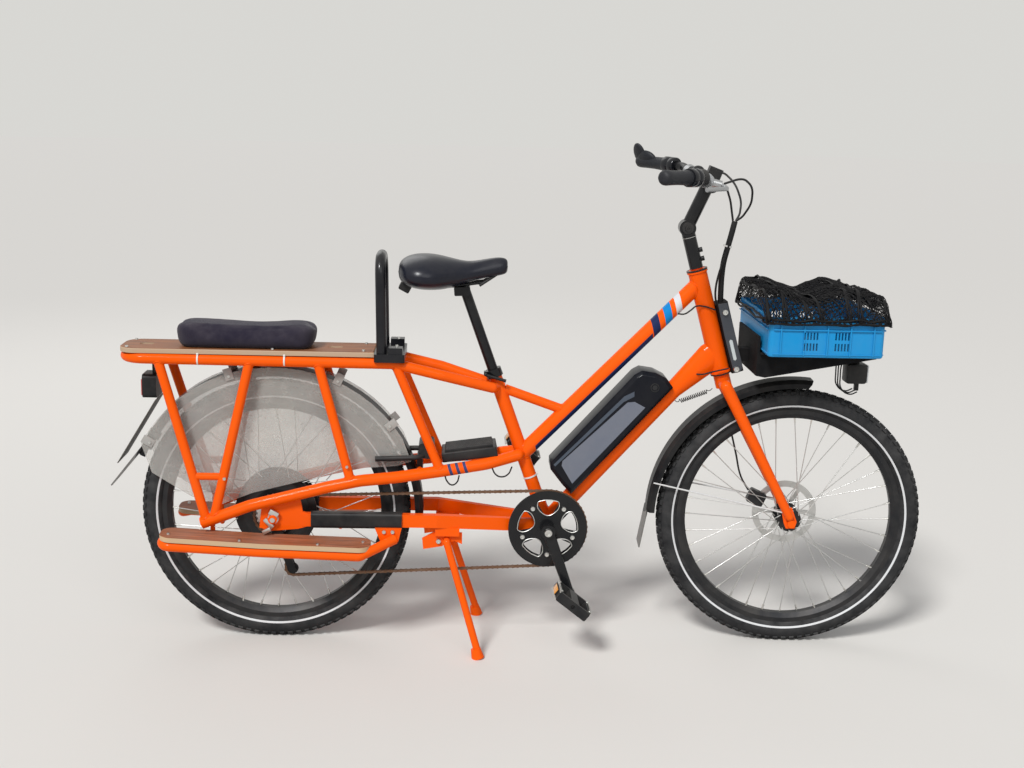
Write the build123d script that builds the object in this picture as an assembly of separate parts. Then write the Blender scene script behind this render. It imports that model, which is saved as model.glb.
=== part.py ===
from build123d import *
import math
import os

# Electric long-tail cargo bicycle, standing on its centre stand
# Lengths in millimetres, +X forward, +Y to the rider's left, +Z up
# X is counted from the rear axle, and the axles lie at axle_z, until the pieces are saved

# Whole bicycle
mid_x = 609.0
wheelbase = 1288.0
axle_z = 332.5
steer_rest = -3.2
fit_gap = 0.3

# Wheels
tyre_r = 332.5
tyre_half_w = 27.0
tyre_tall = 45.5
rim_deep = 27.5
rim_lip = 6.0
rim_half_w = 15.0
rim_waist = 11.5
rim_out_r = tyre_r - tyre_tall
rim_in_r = rim_out_r - rim_deep
rim_well_r = rim_out_r - rim_lip
floor_z = axle_z - tyre_r
spokes_per_side = 18
spoke_r = 1.15
spoke_in = 2.75
spoke_out = 3.9
spoke_seat = 0.4
flange_t = 2.8
front_flange_r = 26.0
front_flange_y = 30.0
rear_flange_y = 25.0
motor_r = 92.0
axle_r = 6.0
disc_r = 82.0
disc_t = 2.0
front_disc_y = 39.5
rear_disc_y = 44.0

# Head and steering line, set back from the front axle and above the tyre
head_back = 192.6
head_over_tyre = 41.9
head_lean = 70.6
head_rise = 242.9
head_low = (wheelbase - head_back, 0, axle_z + tyre_r + head_over_tyre)
head_high = (head_low[0] - head_lean, 0, head_low[2] + head_rise)
head_r = 23.0
steerer_r = 14.3
bearing_gap = 1.0
cup_h = 8.0
cup_r = 25.5

# Frame tubes
bb_at = (675.0, 0, 308.0)
bb_r = 21.0
bb_half_w = 36.0
spindle_r = 9.0
spindle_gap = 0.2
seat_top = (537.4, 0, 681.3)
seat_r = 16.5
main_low = (604.1, 0, 480.6)
main_high = (head_low[0] - 86.2, 0, head_low[2] + 193.3)
main_r = 19.5
down_flare = (head_low[0] - 114.4, 0, head_low[2] - 50.9)
down_high = (head_low[0] - 26.4, 0, head_low[2] + 34.1)
down_r = 21.5
flare_tall = 36.0
brace_low = (562.2, 0, 650.2)
brace_high = (690.2, 0, 605.5)
brace_r = 12.0

# Mudguards and skirts, clear of the tyres
guard_clear = 29.5
front_guard_clear = 24.5
guard_t = 3.0
guard_half_w = 34.0
guard_lip = 17.0
guard_flat = 0.62
guard_fall = 8.0
guard_in_r = tyre_r + guard_clear
front_guard_in_r = tyre_r + front_guard_clear
skirt_y = 34.6
skirt_t = 1.6
skirt_over_guard = 3.0

# Rack, rails and stays
rack_y = 58.0
rack_over_guard = 24.5
rack_z = axle_z + guard_in_r + guard_t + rack_over_guard
rack_r = 13.0
rack_rear_x = -358.0
rack_bar_r = 7.0
rail_r = 14.5
rail_y = 85.0
strut_r = 11.5
bridge_r = 8.0
stay_h = 32.0
stay_t_front = 13.0
stay_t_rear = 18.0
dropout_in_y = 70.0
dropout_t = 8.0

# Deck, hoop and footboards
deck_t = 12.0
deck_half_w = 64.0
deck_x0 = -368.0
deck_x1 = 243.0
cushion_x0 = -238.0
cushion_x1 = 104.0
cushion_h = 62.0
hoop_y = 64.0
hoop_top = 986.0
hoop_r = 12.5
board_t = 12.0
board_in_y = 72.0
board_out_y = 152.0
foot_tube_r = 12.0

# Cranks and chain
crank_len = 165.0
crank_angle = 20.5
ring_r = 92.5
bash_r = 98.0
bash_y = -61.0
bash_t = 3.0
chain_y = -53.0
chain_w = 6.4
chain_h = 8.0
chain_gap = 0.5
sprocket_r = 45.5
pedal_len = 92.0
pedal_w = 84.0
pedal_h = 24.0
pedal_pin_r = 5.0

# Centre stand
stand_at = (425.0, 0, axle_z - 56.5)
stand_foot_x = 507.0
stand_foot_y = 143.0
stand_top_y = 78.0
stand_r = 9.0

# Seat
post_r = 12.7
post_reach = 1.58

# Bar
bar_r = 11.1
grip_r = 16.5
# Bar corners: ahead of the head's top, to the side, above the head's top
bar_table = [(-128.8, 327, 247.2), (-24.8, 203, 241.2), (15.2, 66, 213.2)]
bar_half = [(head_high[0] + x, -y, head_high[2] + z) for x, y, z in bar_table]
bar_path = bar_half + [(x, -y, z) for x, y, z in reversed(bar_half)]

# Crate and front rack
crate_behind = 116.0
crate_len = 276.0
crate_half_w = 165.0
crate_over_head = 66.1
crate_h = 96.0
crate_t = 3.0
rack_plate_t = 3.0
crate_x0 = wheelbase - crate_behind
crate_x1 = crate_x0 + crate_len
crate_z0 = head_low[2] + crate_over_head

os.makedirs("parts", exist_ok=True)


def rod(a, b, r):
    a = Vector(*a)
    b = Vector(*b)
    face = Plane(origin=a, z_dir=b - a) * Circle(r)
    return extrude(face, amount=(b - a).length)


def cone(a, b, r_a, r_b):
    a = Vector(*a)
    b = Vector(*b)
    first = Plane(origin=a, z_dir=b - a) * Circle(r_a)
    last = Plane(origin=b, z_dir=b - a) * Circle(r_b)
    return loft([first, last])


def bent(points, bend, r):
    path = FilletPolyline(*points, radius=bend)
    face = Plane(origin=path @ 0, z_dir=path % 0) * Circle(r)
    return sweep(face, path=path)


def box(x0, x1, y0, y1, z0, z1):
    mid = Pos((x0 + x1) / 2, (y0 + y1) / 2, (z0 + z1) / 2)
    return mid * Box(abs(x1 - x0), abs(y1 - y0), abs(z1 - z0))


def drum(x, z, y0, y1, r):
    return rod((x, y0, z), (x, y1, z), r)


def ring(x, z, y0, y1, r_in, r_out):
    return drum(x, z, y0, y1, r_out) - drum(x, z, y0 - 1, y1 + 1, r_in)


def slab(points, y0, y1, corner=0.0):
    face = make_face(Polyline(*[(x, z) for x, z in points], close=True))
    if corner > 0:
        face = fillet(face.vertices(), corner)
    face = Plane(origin=(0, y0, 0), x_dir=(1, 0, 0), z_dir=(0, -1, 0)) * face
    return extrude(face, amount=y0 - y1)


def both(shape):
    return shape + mirror(shape, about=Plane.XZ)


def biggest(shape):
    return shape.solids().sort_by(SortBy.VOLUME)[-1]


def along(a, b, t):
    return tuple(p + (q - p) * t for p, q in zip(a, b))


axis_len = math.dist(head_low, head_high)
axis_up = tuple((q - p) / axis_len for p, q in zip(head_low, head_high))
axis_fwd = (axis_up[2], 0, -axis_up[0])
steer_axis = Axis(head_low, axis_up)


def on_axis(s, ahead=0.0, side=0.0):
    x = head_low[0] + axis_up[0] * s + axis_fwd[0] * ahead
    z = head_low[2] + axis_up[2] * s + axis_fwd[2] * ahead
    return (x, side, z)


def turned(shape):
    return shape.rotate(steer_axis, steer_rest)


nodes = {}

# Tyre and rim, turned about the wheel's own axle


def wheel_ring(profile, x):
    face = make_face(Polyline(*[(r, y) for y, r in profile], close=True))
    face = Plane(origin=(x, 0, axle_z), x_dir=(1, 0, 0), z_dir=(0, 0, 1)) * face
    return revolve(face, Axis((x, 0, axle_z), (0, 1, 0)))


rim_profile = [
    (-rim_half_w, rim_out_r),
    (-rim_half_w, rim_in_r + rim_waist),
    (-8.0, rim_in_r),
    (8.0, rim_in_r),
    (rim_half_w, rim_in_r + rim_waist),
    (rim_half_w, rim_out_r),
    (rim_half_w - 2.5, rim_out_r),
    (rim_half_w - 2.5, rim_well_r),
    (2.5 - rim_half_w, rim_well_r),
    (2.5 - rim_half_w, rim_out_r),
]


def tyre_at(x, rim):
    torus = Rot(90, 0, 0) * Torus(tyre_r - tyre_half_w, tyre_half_w)
    return biggest(Pos(x, 0, axle_z) * torus - rim)


# Spokes, in two crossing layers on each side


def spokes_at(x, flange_r, flange_y, cross):
    solids = []
    step = 2 * math.pi / spokes_per_side
    for side in (-1, 1):
        for i in range(spokes_per_side):
            lead = 1 if i % 2 else -1
            hub_turn = step * (i + (0 if side > 0 else 0.5))
            rim_turn = hub_turn + lead * cross * step
            y_hub = side * (flange_y + (spoke_out if lead > 0 else -spoke_in))
            y_rim = side * (3.0 + 2.0 * lead)
            reach = rim_in_r - spoke_seat
            a = (x + flange_r * math.cos(hub_turn), y_hub, axle_z + flange_r * math.sin(hub_turn))
            b = (x + reach * math.cos(rim_turn), y_rim, axle_z + reach * math.sin(rim_turn))
            solids.append(rod(a, b, spoke_r))
    return Compound(children=solids)


# Front wheel

front_rim = wheel_ring(rim_profile, wheelbase)
front_hub = drum(wheelbase, axle_z, -38, 38, 15)
for side in (-1, 1):
    mid = side * front_flange_y
    front_hub += drum(wheelbase, axle_z, mid - flange_t / 2, mid + flange_t / 2, front_flange_r + 4)
front_hub += drum(wheelbase, axle_z, front_flange_y, front_disc_y + disc_t / 2, 22)
disc = ring(wheelbase, axle_z, front_disc_y - disc_t / 2, front_disc_y + disc_t / 2, 66, disc_r)
disc_arm = box(10, 70, front_disc_y - disc_t / 2, front_disc_y + disc_t / 2, -5, 5)
for i in range(6):
    disc += Pos(wheelbase, 0, axle_z) * disc_arm.rotate(Axis.Y, 60 * i)
disc -= drum(wheelbase, axle_z, front_disc_y - disc_t, front_disc_y + disc_t, 22)
front_hub -= drum(wheelbase, axle_z, -60, 60, axle_r + fit_gap)
nodes["front_tyre"] = turned(tyre_at(wheelbase, front_rim))
nodes["front_rim"] = turned(front_rim)
nodes["front_hub"] = turned(front_hub)
nodes["front_disc"] = turned(disc)
nodes["front_spokes"] = turned(spokes_at(wheelbase, front_flange_r, front_flange_y, 3))

# Toothed plate: one trapezoid tooth to each link of the chain

tooth_pitch = 12.7
tooth_tall = 4.2
# Share of the pitch, and how far inside the tips
tooth_line = [(0.0, tooth_tall), (0.34, tooth_tall), (0.56, 0), (0.78, 0)]


def toothed(centre, y0, y1, tip_r, in_r):
    count = round(2 * math.pi * (tip_r - tooth_tall / 2) / tooth_pitch)
    step = 2 * math.pi / count
    outline = []
    for i in range(count):
        for share, inside in tooth_line:
            a = step * (i + share)
            outline.append(((tip_r - inside) * math.cos(a), (tip_r - inside) * math.sin(a)))
    plate = slab(outline, y0, y1) - drum(0, 0, y0 - 1, y1 + 1, in_r)
    return Pos(centre[0], 0, centre[1]) * plate


# Rear wheel with its hub motor

rear_rim = wheel_ring(rim_profile, 0)
rear_hub = wheel_ring(
    [
        (-rear_flange_y, 1),
        (-rear_flange_y - 6, 60),
        (-rear_flange_y, motor_r - 4),
        (4 - rear_flange_y, motor_r),
        (rear_flange_y - 4, motor_r),
        (rear_flange_y, motor_r - 4),
        (rear_flange_y + 6, 60),
        (rear_flange_y, 1),
    ],
    0,
)
for side in (-1, 1):
    mid = side * rear_flange_y
    rear_hub += drum(0, axle_z, mid - flange_t / 2, mid + flange_t / 2, motor_r + 9)
rear_hub += drum(0, axle_z, rear_flange_y, rear_disc_y + disc_t / 2, 24)
rear_hub += drum(0, axle_z, -59, -rear_flange_y, 24)
rear_hub -= drum(0, axle_z, -70, 70, axle_r + fit_gap)
sprocket_table = [(-38.5, 52.0), (-43.5, 49.0), (chain_y + 1.0, sprocket_r)]
sprockets = ring(0, axle_z, chain_y - 1, -38.5, 24, 31)
for y1, r in sprocket_table:
    sprockets += toothed((0, axle_z), y1 - 2, y1, r, 24)
rear_disc = ring(0, axle_z, rear_disc_y - disc_t / 2, rear_disc_y + disc_t / 2, 66, disc_r)
disc_arm = box(10, 70, rear_disc_y - disc_t / 2, rear_disc_y + disc_t / 2, -5, 5)
for i in range(6):
    rear_disc += Pos(0, 0, axle_z) * disc_arm.rotate(Axis.Y, 60 * i)
rear_disc -= drum(0, axle_z, rear_disc_y - disc_t, rear_disc_y + disc_t, 24)
nodes["rear_tyre"] = tyre_at(0, rear_rim)
nodes["rear_rim"] = rear_rim
nodes["rear_hub"] = rear_hub
nodes["rear_sprockets"] = sprockets
nodes["rear_disc"] = rear_disc
nodes["rear_spokes"] = spokes_at(0, motor_r + 4, rear_flange_y, 1)

# Head tube with its cups, main tube, seat tube and down tube

head_solid = rod(head_low, head_high, head_r)
cups = rod(on_axis(-cup_h), on_axis(0), cup_r)
cups += rod(on_axis(axis_len), on_axis(axis_len + cup_h), cup_r)
bore = rod(on_axis(-30), on_axis(axis_len + 30), steerer_r + bearing_gap)
bearing = rod(on_axis(-cup_h), on_axis(6), cup_r) + rod(on_axis(axis_len - 6), on_axis(axis_len + cup_h), cup_r)
bearing &= rod(on_axis(-30), on_axis(axis_len + 30), steerer_r + bearing_gap + 0.5)
bearing -= rod(on_axis(-30), on_axis(axis_len + 30), steerer_r + fit_gap)
nodes["head_tube"] = head_solid + cups - bore + bearing

seat_solid = rod(bb_at, seat_top, seat_r)
bb_shell = drum(bb_at[0], bb_at[2], -bb_half_w, bb_half_w, bb_r)
seat_whole = seat_solid + bb_shell
seat_tube = seat_whole - rod(along(bb_at, seat_top, 0.55), along(bb_at, seat_top, 1.05), post_r)
seat_tube -= drum(bb_at[0], bb_at[2], -60, 60, spindle_r + spindle_gap)
nodes["seat_tube"] = seat_tube

main_solid = rod(main_low, main_high, main_r)
main_tube = biggest(main_solid - head_solid - seat_whole)
brace = biggest(rod(brace_low, brace_high, brace_r) - seat_whole - main_solid)
nodes["main_tube"] = main_tube + brace

down_dir = tuple((q - p) / math.dist(bb_at, down_flare) for p, q in zip(bb_at, down_flare))
down_up = (-down_dir[2], 0, down_dir[0])


def on_down(s, lift, side=0.0):
    x = bb_at[0] + down_dir[0] * s + down_up[0] * lift
    z = bb_at[2] + down_dir[2] * s + down_up[2] * lift
    return (x, side, z)


down_solid = rod(bb_at, down_flare, down_r)
flare_end = Vector(*down_high)
flare_dir = flare_end - Vector(*down_flare)
flare_plane = Plane(origin=down_flare, x_dir=(0, 1, 0), z_dir=flare_dir)
flare_top = Plane(origin=down_high, x_dir=(0, 1, 0), z_dir=flare_dir)
flare = loft([flare_plane * Ellipse(down_r, down_r), flare_top * Ellipse(down_r, flare_tall)])
down_solid = down_solid + Pos(*down_flare) * Sphere(down_r) + flare
nodes["down_tube"] = biggest(down_solid - head_solid - cups - seat_whole)

# Rack loop, one bent tube with cross bars

rack_path = [
    (531, -28, 658),
    (405, -rack_y, rack_z - 29),
    (292, -rack_y, rack_z - 3),
    (rack_rear_x, -rack_y, rack_z),
    (rack_rear_x, rack_y, rack_z),
    (292, rack_y, rack_z - 3),
    (405, rack_y, rack_z - 29),
    (531, 28, 658),
]
rack_loop = biggest(bent(rack_path, 50, rack_r) - seat_whole - main_tube - brace)
for x in (-290, 0, 225):
    rack_loop += rod((x, -rack_y, rack_z - 3), (x, rack_y, rack_z - 3), rack_bar_r)
nodes["rack_loop"] = rack_loop

# Side rails with the bridge ahead of the rear wheel

rail_path = [
    (598, -23, 487),
    (520, -48, 470),
    (415, -66, 456),
    (300, -78, 441),
    (211, -rail_y, 433),
    (127, -rail_y, 414),
    (-55, -rail_y, 366),
    (-172, -rail_y, 320),
]
rail = biggest(bent(rail_path, 150, rail_r) - seat_whole - main_solid)
bridge_z = 448.0
bridge_x = math.sqrt((guard_in_r + guard_t + bridge_r + fit_gap) ** 2 - (bridge_z - axle_z) ** 2)
bridge = rod((bridge_x, -70, bridge_z), (bridge_x, 70, bridge_z), bridge_r)
nodes["side_rails"] = both(rail) + bridge

# Slanting struts between rack and rails

# Strut ends: x and z in the rack tube, then the point in the rail
strut_table = [
    ((-274, rack_z + 2), (-160, -rail_y, 325)),
    ((-54, rack_z + 2), (-142, -rail_y, 333)),
    ((107, rack_z), (190, -rail_y, 429)),
    ((294, rack_z - 3), (407, -67, 455)),
]
struts = None
for top, low in strut_table:
    strut = rod((top[0], -rack_y, top[1]), low, strut_r)
    strut = biggest(strut - rack_loop - rail - bridge)
    struts = strut if struts is None else struts + strut
tie_z = 436.0
struts += rod((-191, -77, tie_z), (-113, -77, tie_z), 9)
nodes["rack_struts"] = both(struts)

# Chainstays with dropouts and the fixed rear axle

stay_y = 70.0
stay_z = axle_z - 3.5
stay = loft(
    [
        Plane(origin=(650, -26, bb_at[2]), x_dir=(0, 1, 0), z_dir=(-1, 0, 0)) * Rectangle(stay_t_front, stay_h),
        Plane(origin=(400, -stay_y, stay_z), x_dir=(0, 1, 0), z_dir=(-1, 0, 0)) * Rectangle(stay_t_rear, stay_h),
    ],
    ruled=True,
)
stay += Pos(235, -stay_y, stay_z) * Box(330, stay_t_rear, stay_h)
# Dropout outline: ahead of the axle, above the axle
drop_table = [
    (-34, -24.5),
    (-6, -32.5),
    (60, -26.5),
    (96, -16.5),
    (96, 9.5),
    (72, 17.5),
    (64, 59.5),
    (22, 53.5),
    (-28, 31.5),
]
drop_points = [(x, axle_z + up) for x, up in drop_table]
stay += slab(drop_points, -dropout_in_y - dropout_t, -dropout_in_y)
stay = biggest(stay - seat_whole - rail - struts)
stays = both(stay)
stays += drum(0, axle_z, -dropout_in_y - 14, dropout_in_y + 14, axle_r)
stays += both(drum(0, axle_z, -dropout_in_y - 22, -dropout_in_y, 11))
nodes["chainstays"] = stays
cover = box(92, 314, -84, -58, stay_z - stay_h / 2 - 4, stay_z + stay_h / 2 + 4)
cover = fillet(cover.edges().filter_by(Axis.X), 8)
nodes["stay_cover"] = cover - stay

# Bracket that carries the stand

bracket = box(396, 456, -74, 74, stay_z - 39, stay_z + 1) - both(stay)
bracket = bracket.solids().sort_by(Axis.Z)[0] & box(390, 470, -80, 80, stay_z - 40, stay_z - 18)
bracket += both(box(406, 444, -52, -45, stay_z - 69, stay_z - 33))
# Side plate: ahead of the stand's pivot, above it
side_plate = [(-61, 5), (-27, 24), (38, 20), (38, -9), (20, -1), (-2, -7), (-11, -15), (-58, -23)]
bracket += both(slab([(stand_at[0] + x, stand_at[2] + up) for x, up in side_plate], -64, -58))
bracket -= drum(stand_at[0], stand_at[2], -90, 90, stand_r + fit_gap)
nodes["stand_bracket"] = bracket

# Deck board with finger holes, and the cushion

deck_z = rack_z + rack_r + fit_gap
deck = box(deck_x0, deck_x1, -deck_half_w, deck_half_w, deck_z, deck_z + deck_t)
deck = fillet(deck.edges().filter_by(Axis.Z).group_by(Axis.X)[0], 40)
deck = fillet(deck.edges().group_by(Axis.Z)[-1], 3)
for x in (-310, 146):
    deck -= Pos(x, 0, deck_z - 5) * extrude(SlotOverall(34, 18), amount=30)
nodes["deck_board"] = deck
cushion_z = deck_z + deck_t + fit_gap
cushion = box(cushion_x0, cushion_x1, -64, 64, cushion_z, cushion_z + cushion_h)
cushion = fillet(cushion.edges().filter_by(Axis.Z), 26)
cushion = fillet(cushion.edges().group_by(Axis.Z)[-1] + cushion.edges().group_by(Axis.Z)[0], 18)
nodes["deck_cushion"] = cushion

# Hoop behind the saddle on its clamp plates

plate_x0 = deck_x1 + fit_gap
plate = box(plate_x0, plate_x0 + 74, -82, 82, rack_z + 4, deck_z + 10)
plate = biggest(fillet(plate.edges().filter_by(Axis.Z), 8) - rack_loop)
plate += both(box(plate_x0 + 34, plate_x0 + 68, -80, -50, deck_z + 10, deck_z + 26))
foot_x = plate_x0 + 18
hoop_path = [
    (foot_x, -hoop_y, deck_z + 6),
    (foot_x - 5, -hoop_y, hoop_top - hoop_r),
    (foot_x - 5, hoop_y, hoop_top - hoop_r),
    (foot_x, hoop_y, deck_z + 6),
]
nodes["passenger_hoop"] = plate + bent(hoop_path, 45, hoop_r)

# Footboards on bent tubes

foot_path = [
    (-165, -88, 314),
    (-256, -92, 290),
    (-262, -142, 280),
    (-20, -142, 267),
    (215, -142, 259),
    (298, -94, 288),
]
foot_tube = bent(foot_path, 20, foot_tube_r)
foot_frame = foot_tube
foot_frame += bent([(-150, -142, 274), (-150, -62, 274), (-150, -62, 322), (-150, -80, 322)], 7, 6)
foot_frame += rod((150, -142, 262), (150, -78, 262), 7)
foot_frame += slab([(266, 272), (306, 280), (314, 314), (249, 314)], -92, -84 - fit_gap)
board = slab([(-268, 293), (-20, 279.3), (240, 271), (240, 283), (-20, 291.3), (-268, 305)], -board_out_y, -board_in_y)
board_plan = box(-266, 240, -board_out_y, -board_in_y, 260, 320)
board_plan = fillet(board_plan.edges().filter_by(Axis.Z), 30)
board &= board_plan
foot_frame = biggest(foot_frame - board - rail - stay - cover - struts)
nodes["footboard_frames"] = both(foot_frame)
nodes["footboards"] = both(board)

# Translucent skirts beside the rear wheel

skirt_r = guard_in_r + guard_t + skirt_over_guard


def skirt_point(turn):
    a = math.radians(turn)
    return (skirt_r * math.cos(a), axle_z + skirt_r * math.sin(a))


skirt_line = [skirt_point(t) for t in range(152, 26, -6)]
skirt_line += [(334, 470), (300, 458), (211, 451), (127, 432), (-55, 384), (-135, 352), (-205, 372), (-300, 432)]
skirt = slab(skirt_line, -skirt_y - skirt_t, -skirt_y)
nodes["wheel_skirts"] = both(skirt)

# Mudguard, a bent sheet with a rolled lip along each side


def guard_ring(x, in_r, half_w):
    out_r = in_r + guard_t
    lip_r = in_r - guard_lip
    flat = half_w * guard_flat
    side = half_w - guard_t
    over = [(side, lip_r), (half_w, lip_r), (half_w, out_r - guard_fall), (flat, out_r)]
    under = [(flat - 1, in_r), (side, in_r - guard_fall - 1)]
    over += [(-y, r) for y, r in reversed(over)]
    under = [(-y, r) for y, r in reversed(under)] + under
    return wheel_ring(over + under, x)


# Rear mudguard with its flap, held at the bridge and a rack bar

guard = guard_ring(0, guard_in_r, guard_half_w)
rear_wedge = [(0, 0), (430, -2.5), (430, 567.5), (-430, 567.5), (-430, 187.5)]
guard &= slab([(x, axle_z + up) for x, up in rear_wedge], -60, 60)
guard += box(-8, 8, -12, 12, axle_z + guard_in_r + 1, rack_z) - rack_loop
flap_turn = math.radians(154)
flap_x = (guard_in_r + guard_t) * math.cos(flap_turn)
flap_z = axle_z + (guard_in_r + guard_t) * math.sin(flap_turn)
flap_points = [(flap_x, flap_z), (flap_x - 74, flap_z - 94.5), (flap_x - 71, flap_z - 96.5), (flap_x + 5, flap_z - 4)]
flap = slab(flap_points, -guard_half_w, guard_half_w)
nodes["rear_mudguard"] = guard + flap

# Tail lamp and blank plate under the deck

lamp = box(-318, -284, -34, 34, rack_z - 104, rack_z - 46)
lamp = fillet(lamp.edges().filter_by(Axis.X), 10)
hanger = box(-296, -290, -16, 16, rack_z - 62, rack_z) - rack_loop
nodes["rear_lamp"] = lamp + biggest(hanger)
plate_table = [(-284, -104.3), (-282.5, -105.3), (-378, -264), (-380, -263)]
nodes["rear_plate"] = slab([(x, rack_z + up) for x, up in plate_table], -50, 50)

# Battery in its cradle on the down tube

battery_line = [(100, 16), (104, 96), (122, 106), (440, 106), (458, 96), (476, 42), (470, 16)]
battery_pts = [(on_down(s, n)[0], on_down(s, n)[2]) for s, n in battery_line]
battery = slab(battery_pts, -44, 44, 6)
battery = fillet(battery.edges().group_by(Axis.Y)[0] + battery.edges().group_by(Axis.Y)[-1], 5)
battery = biggest(battery - down_solid - seat_whole)
nodes["battery"] = battery

# Finned controller between the rails

ctrl_x = bridge_x + 57
ctrl_fins = 10
ctrl_line = [(0, 470), (136, 489), (131, 513), (-4, 494)]
ctrl = slab([(ctrl_x + x, z) for x, z in ctrl_line], -46, 46)
for i in range(ctrl_fins):
    t = i / (ctrl_fins - 1)
    x = ctrl_x + 2 + 122 * t
    z = 493 + 17.2 * t
    ctrl += slab([(x - 3, z - 2), (x + 3, z - 1), (x + 3, z + 7), (x - 3, z + 6)], -34, 34)
nodes["controller_box"] = biggest(ctrl - both(rail) - both(struts) - main_solid)

# Horseshoe lock round the rear tyre

lock_y = 47.0
lock_z = bridge_z + 30
lock_x = bridge_x + 13
lock_path = [
    (lock_x - 122, -lock_y, lock_z),
    (lock_x, -lock_y, lock_z + 6),
    (lock_x, lock_y, lock_z + 6),
    (lock_x - 122, lock_y, lock_z),
]
lock = bent(lock_path, 30, 6.5)
lock += fillet(box(lock_x - 16, lock_x + 22, -38, 38, lock_z, lock_z + 38).edges().filter_by(Axis.Y), 8)
lock += box(bridge_x - 7, bridge_x + 7, -30, 30, bridge_z, lock_z + 2)
nodes["ring_lock"] = biggest(lock - bridge - guard)

# Seat post with collar and clamp, and the saddle

post_top = along(bb_at, seat_top, post_reach)
post = rod(along(bb_at, seat_top, 0.8), post_top, post_r)
collar = rod(seat_top, along(bb_at, seat_top, 1.05), seat_r + 4)
collar += box(seat_top[0] - 28, seat_top[0] + 8, -8, 8, seat_top[2] + 2, seat_top[2] + 12)
collar += rod((seat_top[0] - 22, -24, seat_top[2] + 7), (seat_top[0] + 26, -28, seat_top[2] - 6), 4)
collar += rod((seat_top[0] - 22, -24, seat_top[2] + 7), (seat_top[0] - 22, 14, seat_top[2] + 7), 4)
collar = biggest(collar - seat_solid)
# Saddle sections: ahead of the post's top, half width, top and bottom above it
saddle_table = [
    (-159, 34, 54, 28),
    (-140, 82, 72, 10),
    (-108, 102, 81, 1),
    (-66, 95, 81, -1),
    (-26, 62, 72, 4),
    (12, 38, 64, 18),
    (50, 27, 68, 28),
    (85, 21, 68, 36),
    (103, 9, 58, 43),
]
on_post = Pos(*post_top)
saddle_rings = []
for x, half_w, top, low in saddle_table:
    plane = Plane(origin=(x, 0, (low + top) / 2), x_dir=(0, 1, 0), z_dir=(1, 0, 0))
    saddle_rings.append(plane * Ellipse(half_w, (top - low) / 2))
saddle = loft(saddle_rings)
saddle += slab([(-155, 2), (-136, -6), (-128, 14), (-146, 20)], -24, 24)
saddle = on_post * saddle
clamp = slab([(-24, -16), (12, -14), (14, 7), (-26, 5)], -25, 25, 3)
clamp += both(rod((-113, -22, -5), (47, -16, 18), 3.5))
clamp = on_post * clamp
nodes["saddle"] = saddle
nodes["seat_post"] = biggest(post + collar + clamp - saddle)

# Chainring with its guard

window = make_face(Polyline((36, -9), (70, -29), (76, 0), (70, 29), (36, 9), close=True))
window = fillet(window.vertices(), 7)
bash = Circle(bash_r)
for i in range(5):
    bash -= Rot(0, 0, 18 + 72 * i) * window
bash_plane = Plane(origin=(bb_at[0], bash_y, bb_at[2]), x_dir=(1, 0, 0), z_dir=(0, -1, 0))
guard_plate = extrude(bash_plane * bash, amount=-bash_t)
chainring = toothed((bb_at[0], bb_at[2]), chain_y - 1.2, chain_y + 1.2, ring_r, 72)
spider = drum(bb_at[0], bb_at[2], bash_y, chain_y + 1.2, 30)
for i in range(5):
    pin_turn = math.radians(54 + 72 * i)
    pin_x = bb_at[0] + 80 * math.cos(pin_turn)
    pin_z = bb_at[2] + 80 * math.sin(pin_turn)
    spider += drum(pin_x, pin_z, bash_y, chain_y + 1.2, 7)

# Crank arms on their spindle

turn = math.radians(crank_angle)
crank_dx = crank_len * math.sin(turn)
crank_dz = -crank_len * math.cos(turn)
spindle = drum(bb_at[0], bb_at[2], -86, 86, spindle_r)
crank_set = spindle
for side in (-1, 1):
    eye = (bb_at[0] - side * crank_dx, side * 92, bb_at[2] - side * crank_dz)
    hub = (bb_at[0], side * 76, bb_at[2])
    arm_dir = Vector(*eye) - Vector(*hub)
    start = Plane(origin=hub, x_dir=(0, 1, 0), z_dir=arm_dir) * RectangleRounded(15, 30, 6)
    stop = Plane(origin=eye, x_dir=(0, 1, 0), z_dir=arm_dir) * RectangleRounded(13, 22, 5)
    crank_set += loft([start, stop])
    crank_set += drum(hub[0], hub[2], side * 66, side * 88, 18)
    crank_set += drum(eye[0], eye[2], side * 84, side * 99, 13)
    crank_set += drum(eye[0], eye[2], side * 90, side * (100 + pedal_w), pedal_pin_r)
crank_set += drum(bb_at[0], bb_at[2], -66, bash_y, 18)
nodes["crank_arms"] = crank_set
nodes["chainring"] = guard_plate + chainring + spider - crank_set

# Pedals with open cages and end reflectors


def pedal_at(side):
    x = bb_at[0] - side * crank_dx
    z = bb_at[2] - side * crank_dz
    y0 = side * 104
    y1 = side * (104 + pedal_w)
    mid = (y0 + y1) / 2
    body = box(-pedal_len / 2, pedal_len / 2, y0, y1, -pedal_h / 2, pedal_h / 2)
    body = fillet(body.edges().filter_by(Axis.Y), 5)
    body -= box(12, pedal_len / 2 - 7, y0 + side * 7, y1 - side * 7, -50, 50)
    body -= box(7 - pedal_len / 2, -12, y0 + side * 7, y1 - side * 7, -50, 50)
    body += drum(0, 0, y0, y1, 12)
    for end in (-1, 1):
        x_a = end * pedal_len / 2
        body += box(x_a, x_a + end * 4, mid - 22, mid + 22, -8, 8)
    body -= drum(0, 0, -250, 250, pedal_pin_r + fit_gap)
    return Pos(x, 0, z) * body.rotate(Axis.Y, 38)


nodes["pedal_right"] = pedal_at(-1)
nodes["pedal_left"] = pedal_at(1)

# Chain line round chainring, sprocket and the two guide wheels


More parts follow.
